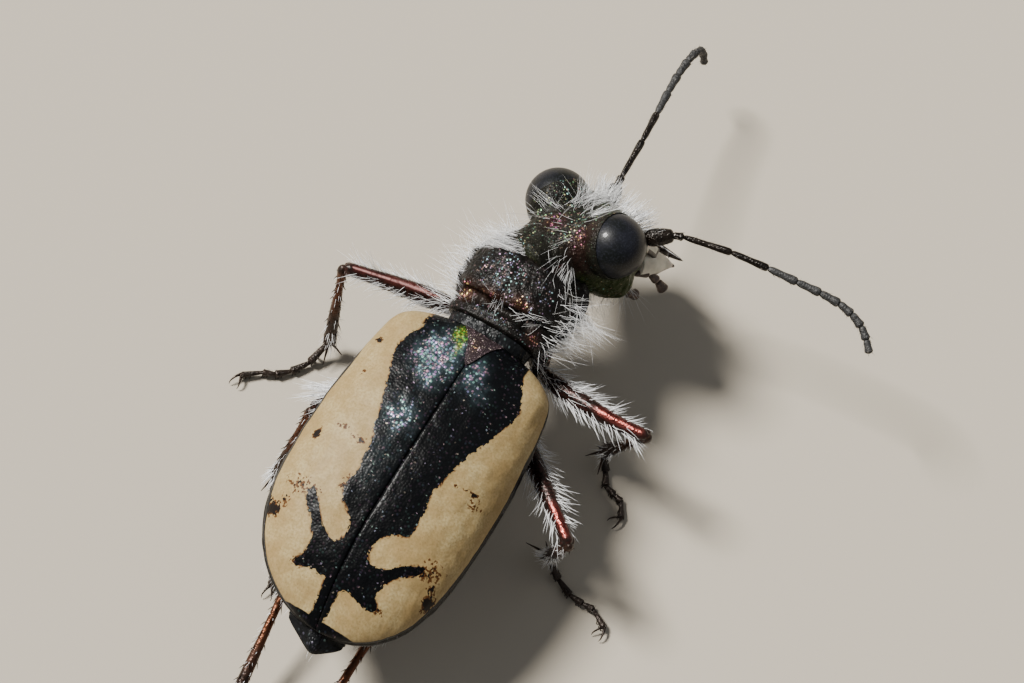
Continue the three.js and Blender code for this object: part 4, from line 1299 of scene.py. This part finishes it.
FOOT_RADII = (0.125, 0.12, 0.115, 0.11, 0.095)
FOOT_PROFILE = [(0, 0.55), (0.3, 0.75), (0.8, 1), (0.95, 1.08), (1, 0.95)]
FEMUR_WIDTHS = {"front": 0.38, "middle": 0.38, "hind": 0.37}
FEMUR_ARCHES = {"front": (0, 0, 0.16), "middle": (0, 0, 0.16), "hind": (0, 0, 0.05)}
FEMUR_PROFILE = [(0, 0.62), (0.1, 0.88), (0.32, 1), (0.55, 0.92), (0.8, 0.72), (0.93, 0.68), (1, 0.58)]
LOBE_PROFILE = [(0, 0.09), (0.5, 0.12), (1, 0.09)]
KNOB_PROFILE = [(0, 0.25), (0.5, 0.32), (1, 0.26)]
COXA_WIDTHS = {"front": 0.7, "middle": 0.7, "hind": 0.75}
TIBIA_WIDTH = 0.19
TIBIA_PROFILE = [(0, 0.75), (0.06, 0.95), (0.14, 0.8), (0.6, 1), (0.9, 1.2), (1, 1.3)]
SPINES = 46
# How far along its femur the copper line begins
GLOW_STARTS = {"front_left": 0.15, "front_right": 0.5, "middle_right": 0.62, "middle_left": 0.9}


def coxa(name, hip, trochanter):
    """The hip piece with the small joint that carries the femur."""
    wide = COXA_WIDTHS[name.split("_")[0]]
    way = unit(trochanter - hip)
    profile = [(0, wide * 0.6), (0.25, wide), (0.6, wide * 0.85), (0.85, 0.38), (1, 0.32)]
    main = bead(hip - way * wide * 0.9, trochanter, profile, 32, 40, 0.2, 0.08)
    ends = trochanter - way * 0.25, trochanter + way * 0.3
    knob = bead(*ends, KNOB_PROFILE, 24, 24, 0.4, 0.4)
    shapes = [closed_shape(skin.paint(warm=0.3, sheen=0.15)) for skin in (main, knob)]
    dress(f"{name}_coxa", joined(shapes), SHELL)
    return main


def femur(name, trochanter, knee):
    """The thigh: stout near the hip, slim before a swollen knee."""
    pair = name.split("_")[0]
    wide = FEMUR_WIDTHS[pair]
    arch = (0.0, 0.22, 0.1) if name == "front_right" else FEMUR_ARCHES[pair]
    round_knee = 0.26 / np.linalg.norm(knee - trochanter)
    skin = bead(trochanter, knee, FEMUR_PROFILE, 28, 60, 0.05, round_knee, wide, 0.86, arch)
    s = skin.along
    # Copper only on the upward faces: the leg's own copper, kept to the top where the light falls, so
    # the dark underside is partly painted shade.
    rise = skin.normals() @ np.array([0.15, 0.0, 0.99])
    start = GLOW_STARTS.get(name, 0.4)
    glow = ramp(0.55, 0.9, rise) * ramp(start, start + 0.15, s) * ramp(1.0, 0.9, s)
    skin.paint(glow=glow)
    # The left front femur gets a painted highlight: a rosy line where its faces turn toward one fixed
    # direction.
    if name == "front_left":
        shining = skin.normals() @ unit(np.array([-0.28, -0.1, 0.955]))
        skin.paint(glow=glow * 0.5, gleam=ramp(0.96, 0.988, shining) * ramp(0.2, 0.35, s))
    shapes = [closed_shape(skin)]
    way = unit(knee - trochanter)
    across = unit(np.cross(way, (0, 0, 1)))
    for side in (1, -1):
        centre = knee - way * 0.12 + across * side * wide * 0.36 - (0, 0, 0.05)
        ends = centre - way * 0.26, centre + way * 0.1
        shapes.append(closed_shape(bead(*ends, LOBE_PROFILE, 16, 16, 0.5, 0.5)))
    dress(f"{name}_femur", joined(shapes), COPPER)
    return skin


def tibia(name, knee, ankle, spurs):
    """The shin with its two spurs and rows of short spines."""
    long = np.linalg.norm(ankle - knee)
    way = unit(ankle - knee)
    bend = np.cross(way, np.cross((0, 0, 1), way)) * 0.07
    ends = knee - way * 0.08, ankle + way * 0.08
    skin = bead(*ends, TIBIA_PROFILE, 20, 60, 0.2 / long, 0.16 / long, TIBIA_WIDTH, arch=bend)
    skin.paint(glow=0.75 * ramp(0.9, 0.3, skin.along) * ramp(0.0, 0.1, skin.along))
    shapes = [closed_shape(skin)]
    for sideways, rearward in spurs:
        root = ankle + (sideways * 0.1, rearward * 0.1, 0.02)
        tip = ankle + (sideways, rearward, -0.42)
        line = spline([root, (root + tip) / 2 + (0, 0, 0.05), tip], 16)
        shapes.append(closed_shape(tube(line, np.linspace(0.062, 0.012, 16), 12)))
    rng = seeded(sum(map(ord, name)))
    rows, columns = skin.points.shape[:2]
    normals = skin.normals()
    for k in range(SPINES):
        row = int(mix(0.12, 0.96, (k + rng.uniform(0, 0.6)) / SPINES) * (rows - 1))
        column = (k * 5 + int(rng.integers(0, 2)) * 2) % columns
        root = skin.points[row, column]
        tip = root + normals[row, column] * 0.1 + way * rng.uniform(0.16, 0.24)
        shapes.append(closed_shape(tube(np.linspace(root, tip, 4), (0.02, 0.017, 0.012, 0.004), 6)))
    dress(f"{name}_tibia", joined(shapes), BRONZE_LEG)
    return skin


def claw(root, way, across):
    """A curved claw."""
    steps = ((0, 0, 0), (0.2, 0.1, 0.05), (0.4, 0.17, -0.02), (0.5, 0.16, -0.13))
    line = spline([root + way * on + across * aside + (0, 0, rise) for on, aside, rise in steps], 18)
    line[:, 2] = np.maximum(line[:, 2], 0.03)
    return closed_shape(tube(line, mix(0.055, 0.008, np.linspace(0, 1, 18) ** 1.2), 10))


def tarsus(name, ankle, foot, claws):
    """The foot: five joints, each wider at its far end, and two claws."""
    points = joints_along([ankle, *[on_body(p) for p in foot]], FOOT_SHARES)
    points[1:, 2] = np.maximum(points[1:, 2], FOOT_HEIGHT - 0.06)
    tubes = [
        bead(a - (b - a) * 0.06, b, FOOT_PROFILE, 16, 20, 0.08, 0.12, wide, 1.1).paint(dull=0.12)
        for a, b, wide in zip(points[:-1], points[1:], FOOT_RADII)
    ]
    way = unit(np.array([*claws, 0.0]))
    across = np.array([-way[1], way[0], 0])
    shapes = [closed_shape(skin) for skin in tubes]
    shapes += [claw(points[-1] - way * 0.04, way, across * side) for side in (1, -1)]
    shape = joined(shapes + pad_hairs(points))
    shape.points[:, 2] = np.maximum(shape.points[:, 2], 0.0)
    dress(f"{name}_tarsus", shape, FOOT)
    return tubes


def pad_hairs(points):
    """Brushes of short stiff hairs under the joints, on which the foot stands."""
    shapes = []
    for a, b in zip(points[:-1], points[1:]):
        way = unit(b - a)
        for share, side in itertools.product((0.55, 0.75, 0.92), (-1, 0, 1)):
            place = mix(a, b, share)
            across = np.array([-way[1], way[0], 0]) * side * 0.07
            tip = (place + across * 1.7 + way * 0.05) * (1, 1, 0)
            if place[2] <= 0.6:
                line = np.linspace(place + across, tip, 4)
                shapes.append(closed_shape(tube(line, (0.03, 0.026, 0.02, 0.014), 6)))
    return shapes


def legs():
    made = {}
    for name, leg in LEGS.items():
        trochanter, knee, ankle = (on_body(leg[key]) for key in ("trochanter", "knee", "ankle"))
        made[name] = {
            "coxa": coxa(name, put(HIPS[name], BODY), trochanter),
            "femur": femur(name, trochanter, knee),
            "tibia": tibia(name, knee, ankle, leg["spurs"]),
            "tarsus": tarsus(name, ankle, leg["foot"], leg["claws"]),
        }
    return made


# Bristles

ROOT_DEPTH = 0.02
HAIR = (0.015, 0.025)
FINE_HAIR = (0.009, 0.015)
BROW_HAIR = (0.020, 0.030)
COVER_HAIR = (0.012, 0.020)
PLUME_HAIR = (0.020, 0.032)
SHORT_HAIR = (0.012, 0.018)
TUFT_HAIR = (0.018, 0.026)
LOCK_SIZE = 0.7
# How much a bristle strays from its lock, how far it stands off the skin and the floor at least
STRAY = 0.45
LEAST_RISE = 0.12
CLEARANCE = 0.01
HAIR_SIDES = 3
# Rings of a hair: how far along it, and how thick it is there
HAIR_RINGS = ((0.0, 1.0), (0.3, 0.9), (0.6, 0.66), (0.85, 0.36))
HAIR_POINTS = HAIR_SIDES * len(HAIR_RINGS) + 1
PATCH = 0.0015
WHOLE = (0.0, 0.0, 1.0, 1.0)


def scatter(skin, count, weight, rng, tile):
    """Random roots on a skin, with their places on the tile of the unwrap that the skin has."""
    by_row, by_column = skin.slopes()
    normals = skin.normals()
    area = np.linalg.norm(np.cross(by_row, by_column), axis=-1) * weight
    rows, columns = area.shape
    wrap = columns if skin.closed else columns - 1
    area = area[: rows - 1, :wrap]
    chosen = rng.choice(area.size, count, p=area.ravel() / area.sum())
    i, j = chosen // wrap, chosen % wrap
    a, b = rng.uniform(size=(2, count))
    i2, j2 = i + 1, (j + 1) % columns

    def at(grid):
        low = mix(grid[i, j], grid[i, j2], b[:, None])
        high = mix(grid[i2, j], grid[i2, j2], b[:, None])
        return mix(low, high, a[:, None])

    u = tile[0] + tile[2] * (i + a) / rows
    v = tile[1] + tile[3] * (j + b) / columns
    return {
        "place": at(skin.points),
        "normal": unit(at(normals)),
        "own": at(skin.own),
        "unwrap": np.stack([u, v], 1),
    }


def parted(way, aside):
    """A lie that leans aside on the body's left half and the other way on its right half."""
    return lambda roots: way + aside * np.sign(roots["own"][:, :1])


class Coat:
    """Bristles of one piece, each a thin tapered spine of solid mesh with a tip."""

    def __init__(self, seed):
        self.rng = seeded(seed)
        self.parts = []

    def sow(self, skin, count, weight, way, length, width=FINE_HAIR, tile=WHOLE, **habit):
        """Bristles at random on a skin, most where weight is high; way may depend on the roots."""
        roots = scatter(skin, count, weight, self.rng, tile)
        self.grow(roots, way(roots) if callable(way) else way, length, width, **habit)

    def grow(self, roots, way, length, width, lift, spread=0.3, curl=0.25, wave=0.16, shade=(0.0, 0.5)):
        """Bristles on scattered roots: way is the lie, lift how much they stand up.

        Neighbours lean and curl alike, so that they lie in locks.
        """
        rng = self.rng
        place, normal = roots["place"], roots["normal"]
        count = len(place)
        leans, curls = (
            np.stack([ripples(place, LOCK_SIZE, 60 + 3 * use + k) for k in range(3)], 1)
            for use in range(2)
        )
        lean = (leans + STRAY * rng.normal(size=(count, 3))) * spread
        ways = unit(unit(way) * (1 - lift) + normal * lift + lean)
        inward = (ways * normal).sum(1, keepdims=True)
        ways = unit(ways + normal * np.maximum(0, LEAST_RISE - inward))
        lengths = rng.uniform(*length, count)
        sweep = unit(way) * curl * rng.uniform(0.2, 1.2, (count, 1))
        sweep = sweep + (curls + STRAY * rng.normal(size=(count, 3))) * wave
        widths = rng.uniform(*width, count)
        shades = mix(*shade, rng.uniform(0, 1, count) ** 2)
        bends = sweep * lengths[:, None]
        self.add(place - normal * ROOT_DEPTH, ways, lengths, widths, bends, roots["unwrap"], shades)

    def add(self, places, ways, lengths, widths, bends, unwraps, shades):
        """Bristles from their roots; bends are sideways sweeps of the tips."""
        helper = np.where(np.abs(ways[:, 2:3]) > 0.9, (1.0, 0.0, 0.0), (0.0, 0.0, 1.0))
        u = unit(np.cross(ways, helper))
        w = np.cross(ways, u)
        points = []
        for share, taper in HAIR_RINGS:
            centre = places + ways * (lengths * share)[:, None] + bends * share**2
            for angle in np.arange(HAIR_SIDES) * TURN / HAIR_SIDES:
                aside = u * math.cos(angle) + w * math.sin(angle)
                points.append(centre + aside * (widths * taper / 2)[:, None])
        points.append(places + ways * lengths[:, None] + bends)
        points = np.stack(points, 1)
        points[..., 2] = np.maximum(points[..., 2], CLEARANCE)
        self.parts.append((points, unwraps, shades))

    def build(self, name, material):
        points, unwraps, shades = (np.concatenate(part) for part in zip(*self.parts))
        around = [(k, (k + 1) % HAIR_SIDES) for k in range(HAIR_SIDES)]
        last = HAIR_POINTS - 1 - HAIR_SIDES
        quads = [
            (ring + a, ring + b, ring + b + HAIR_SIDES, ring + a + HAIR_SIDES)
            for ring in range(0, last, HAIR_SIDES)
            for a, b in around
        ]
        tris = [(0, 2, 1), *((last + a, last + b, HAIR_POINTS - 1) for a, b in around)]
        starts = (np.arange(len(points)) * HAIR_POINTS)[:, None, None]
        faces = [(starts + np.array(kind)[None]).reshape(-1, len(kind[0])) for kind in (quads, tris)]
        flat = points.reshape(-1, 3)
        shape = Shape(flat, faces, flat, {"shade": np.repeat(shades, HAIR_POINTS)})
        made = new_piece(name, shape, material)
        self.unwrap(made.data, unwraps)
        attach(made, "root")

    @staticmethod
    def unwrap(mesh, unwraps):
        """Each bristle as a small patch at its root's place on the skin's unwrap."""
        layer = mesh.uv_layers.new(name="OFBake")
        corners = np.empty(len(mesh.loops), np.int32)
        mesh.loops.foreach_get("vertex_index", corners)
        which, spot = corners // HAIR_POINTS, corners % HAIR_POINTS
        angle = (spot % HAIR_SIDES) * TURN / HAIR_SIDES
        reach = PATCH * (1 - 0.25 * (spot // HAIR_SIDES))
        uv = unwraps[which] + np.stack([np.cos(angle), np.sin(angle)], 1) * reach[:, None]
        layer.data.foreach_set("uv", np.clip(uv, 0.001, 0.999).astype(np.float32).ravel())


# Tufts along the eyes: place, spread of the roots, lie, count, lengths, lift
HEAD_TUFTS = [
    ((0.75, -0.2, 0.55), (0.35, 0.45, 0.5), (0.55, -0.6, 0.3), 60, (0.6, 1.0), 0.35),
    ((0.35, -0.35, 0.55), (0.35, 0.4, 0.5), (-0.35, -0.9, 0.1), 70, (0.6, 1.0), 0.25),
    ((0.75, 0.9, 0.4), (0.35, 0.35, 0.5), (0.8, 0.35, 0.3), 26, (0.55, 0.9), 0.4),
    ((0.2, 0.3, 0.55), (0.5, 0.5, 0.5), (0.2, -0.9, 0.3), 30, (0.5, 0.8), 0.25),
    ((-0.75, 0.1, 0.5), (0.3, 0.35, 0.5), (-0.75, -0.6, 0.2), 40, (0.6, 0.95), 0.2),
    ((-0.2, 1.2, 0.4), (0.6, 0.4, 0.5), (0.5, 0.8, 0.1), 12, (0.45, 0.75), 0.15),
]


def head_coat(skin):
    """White bristles: tufts along the eyes, fans on the brow, a curly fringe on the nape."""
    coat = Coat(101)
    x, y, z = np.moveaxis(skin.own, -1, 0)
    free = np.ones(x.shape)
    for centre, radius in EYES.values():
        free = free * (np.linalg.norm(skin.own - centre, axis=-1) > radius + SOCKET_WALL)
    habit = {"spread": 0.2, "curl": 0.35, "wave": 0.22, "shade": (0.1, 1.0)}
    for place, size, lie, count, length, lift in HEAD_TUFTS:
        near = np.exp(-(((skin.own - place) / size) ** 2).sum(-1)) * free
        coat.sow(skin, count, near, head_way(*lie), length, lift=lift, **habit)
    brow = (y < -0.95) * (y > -1.75) * (z > -0.75) * free * ramp(-1.25, -0.85, x)
    brow = brow * (0.25 + hump(np.abs(x), 0.75, 0.35))
    lie = parted(head_way(0, -1, 0.5), head_way(0.5, 0, 0))
    coat.sow(skin, 360, brow, lie, (0.5, 0.9), BROW_HAIR, lift=0.5, shade=(0, 0.25))
    nape = (y > 1.2) * (y < 2.2) * (z > -1.4) * ramp(-1.6, -0.6, x) * (np.abs(x) > 0.7)
    lie = parted(head_way(0, 1, -0.2), head_way(0.4, 0, 0))
    coat.sow(skin, 80, nape, lie, (0.5, 0.9), lift=0.15, curl=0.7, wave=0.4, shade=(0.4, 1.0))
    below = (z < -1.95) * (y < 1.6) * (y > -1.2)
    habit = {"spread": 0.6, "curl": 0.6, "wave": 0.7, "shade": (0.2, 1.0)}
    coat.sow(skin, 260, below, head_way(-0.6, 0.5, -0.7), (0.4, 0.8), lift=0.25, **habit)
    coat.build("coat_head", WHITE_HAIR)


# Neck bristles: count, angle round the body and its spread, place and its spread, lie, lengths,
# lift, spread, curl, wave, shades
COLLAR_TUFTS = [
    (200, (0.6, 0.55), (-1.3, 0.3), (0.9, 0.35, 0), (0.6, 1.05), 0.14, 0.2, 0.25, 0.16, (0.0, 0.9)),
    (40, (-0.95, 0.24), (-1.3, 0.3), (-0.15, 0.9, 0), (0.5, 1.0), 0.1, 0.24, 0.8, 0.35, (0.35, 1.0)),
    (22, (-0.5, 0.22), (1.0, 0.2), (-0.9, -0.45, 0), (0.5, 0.8), 0.12, 0.12, 0.25, 0.16, (0.2, 1.0)),
    (16, (0.15, 0.3), (1.2, 0.25), (0.2, -0.9, 0.6), (0.4, 0.7), 0.5, 0.3, 0.25, 0.16, (0.0, 0.5)),
]


def prothorax_coat(skin):
    """White bristles: a fringe down both sides, a cross lie at the front, curls on the side plates."""
    coat = Coat(102)
    x, y, z = np.moveaxis(skin.own, -1, 0)
    angle = np.arctan2(x / 1.9, z / 1.35)
    turn = np.abs(angle)
    forward = prothorax_way(0, -1, 0)
    # The right fringe is finer and greyer: painted shade on the side away from the light.
    for side, count, width, shade in ((1, 200, HAIR, 0.4), (-1, 34, FINE_HAIR, 1.0)):
        shore = hump(angle * side, 1.25, 0.25) * (y < 1.5)
        if side < 0:
            shore = shore * ramp(-0.9, -0.4, y)
        out = prothorax_way(side, 0, 0)
        coat.sow(
            skin, count, shore, lambda roots: out + forward * coat.rng.uniform(-0.3, 0.8, (count, 1)),
            (0.5, 1.0), width, lift=0.4, spread=0.28, curl=0.4, wave=0.35, shade=(0, shade),
        )
    for count, round_body, back, lie, length, *habit in COLLAR_TUFTS:
        habit = dict(zip(("lift", "spread", "curl", "wave", "shade"), habit))
        near = hump(angle, *round_body) * hump(y, *back)
        coat.sow(skin, count, near, prothorax_way(*lie), length, **habit)
    plates = ramp(1.8, 2.0, turn) * (turn < 2.6) * ramp(-1.7, -0.9, y)
    lie = parted(prothorax_way(0, 0.3, -1), prothorax_way(0.7, 0, 0))
    habit = {"spread": 0.5, "curl": 0.8, "wave": 0.45, "shade": (0.5, 1.0)}
    coat.sow(skin, 240, plates, lie, (0.35, 0.85), lift=0.35, **habit)

    def shoreward(roots):
        """Down in the picture at the front, and to its right farther back."""
        rearward = ramp(-0.9, 0.5, roots["own"][:, 1:2])
        aside = np.array(CAMERA_RIGHT) * mix(0.25, 1, rearward)
        return aside - np.array(CAMERA_UP) * mix(1, 0.05, rearward)

    fluff = hump(angle, -1.85, 0.3) * ramp(-0.9, -0.4, y) * ramp(1.5, 1.0, y)
    habit = {"spread": 0.4, "curl": 0.4, "wave": 0.6, "shade": (0.0, 0.8)}
    coat.sow(skin, 300, fluff, shoreward, (0.45, 0.95), lift=0.2, **habit)
    coat.sow(skin, 260, turn > 2.4, prothorax_way(0, 1, 0), (0.3, 0.6), lift=0.35)
    coat.build("coat_prothorax", WHITE_HAIR)


def trunk_coat(thorax, belly):
    """White bristles on the side plates under the wing cases and along the belly."""
    coat = Coat(103)
    thorax_half, belly_half = (0, 0, 1, 0.5), (0, 0.5, 1, 0.5)
    x, _, z = np.moveaxis(thorax.own, -1, 0)
    lie = parted(body_way(0, 1, -0.5), body_way(0.3, 0, 0))
    plates = (z < -0.4) * (np.abs(x) > 0.7)
    coat.sow(thorax, 2600, plates, lie, (0.35, 0.8), tile=thorax_half, lift=0.35)
    x, y, z = np.moveaxis(belly.own, -1, 0)
    flank = (z < -0.35) * hump(np.abs(x), 2.2, 0.7) * (y < 10.5)
    low = z < -0.6
    back = body_way(0, 1, 0)
    coat.sow(
        belly, 2000, flank, body_way(0, 1, -0.2), (0.3, 0.6), tile=belly_half, lift=0.25, spread=0.22
    )
    coat.sow(belly, 300, low, back, (0.2, 0.45), tile=belly_half, lift=0.3, spread=0.25)
    coat.build("coat_trunk", WHITE_HAIR)


def leg_coats(limbs):
    """White bristles on the legs: rows along the femora, a shorter comb down each shin."""
    up = np.array([0.0, 0.0, 1.0])
    thigh_tile, shin_tile, hip_tile = (0, 0, 0.5, 1), (0.5, 0, 0.3, 1), (0.8, 0, 0.2, 1)
    for index, (name, parts) in enumerate(limbs.items()):
        coat = Coat(200 + index)
        thigh, shin = parts["femur"], parts["tibia"]
        s = np.linspace(0, 1, len(thigh.points))[:, None]
        normals = thigh.normals()
        way = thigh.way()
        across = unit(np.cross(way, up))
        rise = normals @ up
        edge = hump(np.abs(normals @ across), 0.85, 0.3) * (rise > -0.6) * ramp(0.9, 0.76, s)
        bare = 1 - 0.97 * ramp(0.2, 0.6, rise) * ramp(0.3, 0.45, s)

        def outward_way(roots):
            return way * 1.3 + across * np.sign(roots["normal"] @ across)[:, None] * 0.6

        habit = {"lift": 0.24, "spread": 0.22, "curl": 0.35, "wave": 0.25, "shade": (0, 0.3)}
        coat.sow(thigh, 190, edge, outward_way, (0.4, 0.72), HAIR, thigh_tile, **habit)
        cover = bare * ramp(0.9, 0.7, s) * mix(1, 0.3, s)
        habit = {"lift": 0.12, "spread": 0.22, "wave": 0.25}
        coat.sow(thigh, 230, cover, way, (0.35, 0.65), COVER_HAIR, thigh_tile, **habit)
        if name == "middle_left":
            plume = hump(s, 0.68, 0.07) * ramp(-0.2, 0.5, rise)
            outside = 0.15 * way - np.array(CAMERA_RIGHT)
            habit = {"lift": 0.12, "spread": 0.12, "curl": 0.2, "wave": 0.12, "shade": (0, 0.2)}
            coat.sow(thigh, 130, plume, outside, (0.8, 1.2), PLUME_HAIR, thigh_tile, **habit)
        s = np.linspace(0, 1, len(shin.points))[:, None]
        comb = ramp(0.1, 0.2, s) * ramp(1.0, 0.9, s)
        habit = {"lift": 0.5, "spread": 0.14, "curl": 0.2}
        coat.sow(shin, 60, comb, shin.way(), (0.14, 0.26), SHORT_HAIR, shin_tile, **habit)
        brush = 190 if name.startswith("middle") else 50
        habit = {"lift": 0.25, "spread": 0.16}
        coat.sow(shin, brush, ramp(0.55, 0.9, s), shin.way(), (0.3, 0.6), TUFT_HAIR, shin_tile, **habit)
        coat.sow(parts["coxa"], 160, 1, way, (0.3, 0.6), HAIR, hip_tile, lift=0.4)
        coat.build(f"coat_{name}", WHITE_HAIR)


def dark_bristles(limbs, feelers):
    """Short dark bristles on the feet and feelers."""
    coat = Coat(300)
    strips = [skin for parts in limbs.values() for skin in parts["tarsus"]] + feelers
    width = 1 / len(strips)
    for k, skin in enumerate(strips):
        roots = scatter(skin, 16, 1, coat.rng, (k * width, 0, width, 1))
        high = roots["place"][:, 2] > 0.12
        roots = {key: value[high] for key, value in roots.items()}
        if high.any():
            coat.grow(roots, skin.way(), (0.09, 0.2), SHORT_HAIR, lift=0.4, spread=0.12, curl=0.05)
    coat.build("coat_feet_feelers", DARK_HAIR)


# Building

wing_cases()
scutellum()
thorax_skin = hind_thorax()
belly_skin = abdomen()
prothorax_skin = prothorax()
head_skin = head()
eyes()
labrum()
mandibles()
palps()
feeler_skins = antennae()
leg_skins = legs()
head_coat(head_skin)
prothorax_coat(prothorax_skin)
trunk_coat(thorax_skin, belly_skin)
leg_coats(leg_skins)
dark_bristles(leg_skins, feeler_skins)


# Floor, light and camera

FLOOR_HALF = 600.0
LENS = 100
SENSOR = 36
NEAREST, FARTHEST = 0.005, 5


def floor():
    grid = np.linspace(-FLOOR_HALF, FLOOR_HALF, 3)
    x, y = np.meshgrid(grid, grid, indexing="ij")
    points = np.stack([x, y, 0 * x], -1)
    shape = Shape(points.reshape(-1, 3), [grid_faces(3, 3, False)], points.reshape(-1, 3), {})
    made = new_piece("floor", shape, floor_material(), smooth=False)


def lamp(name, way, strength, angle, color):
    """A distant soft lamp that shines from way."""
    light = bpy.data.lights.new(name, "SUN")
    light.energy = strength
    light.angle = math.radians(angle)
    light.color = color
    made = bpy.data.objects.new(name, light)
    made.rotation_mode = "QUATERNION"
    made.rotation_quaternion = Vector(way).to_track_quat("Z", "Y")
    bpy.context.scene.collection.objects.link(made)


def lights():
    lamp("key", (0.64, 0.0, 0.766), 9.0, 15, (1.0, 0.97, 0.92))
    lamp("fill", (-0.5, -0.45, 0.74), 0.2, 60, (0.93, 0.96, 1.0))
    world = bpy.data.worlds.new("studio")
    world.use_nodes = True
    background = world.node_tree.nodes["Background"]
    background.inputs["Color"].default_value = (0.86, 0.88, 0.92, 1)
    background.inputs["Strength"].default_value = 0.24
    bpy.context.scene.world = world


def camera():
    """The photo's view: from high above and a little behind, with a long lens."""
    right, up = unit(np.array(CAMERA_RIGHT)), np.array(CAMERA_UP)
    up = unit(up - right * (right @ up))
    back = np.cross(right, up)
    data = bpy.data.cameras.new("camera")
    data.lens = LENS
    data.sensor_width = SENSOR
    data.clip_start = NEAREST
    data.clip_end = FARTHEST
    made = bpy.data.objects.new("camera", data)
    turn = Matrix((right, up, back)).transposed().to_4x4()
    made.matrix_world = Matrix.Translation(Vector(CAMERA_PLACE) * MM) @ turn
    bpy.context.scene.collection.objects.link(made)
    bpy.context.scene.camera = made


floor()
lights()
camera()
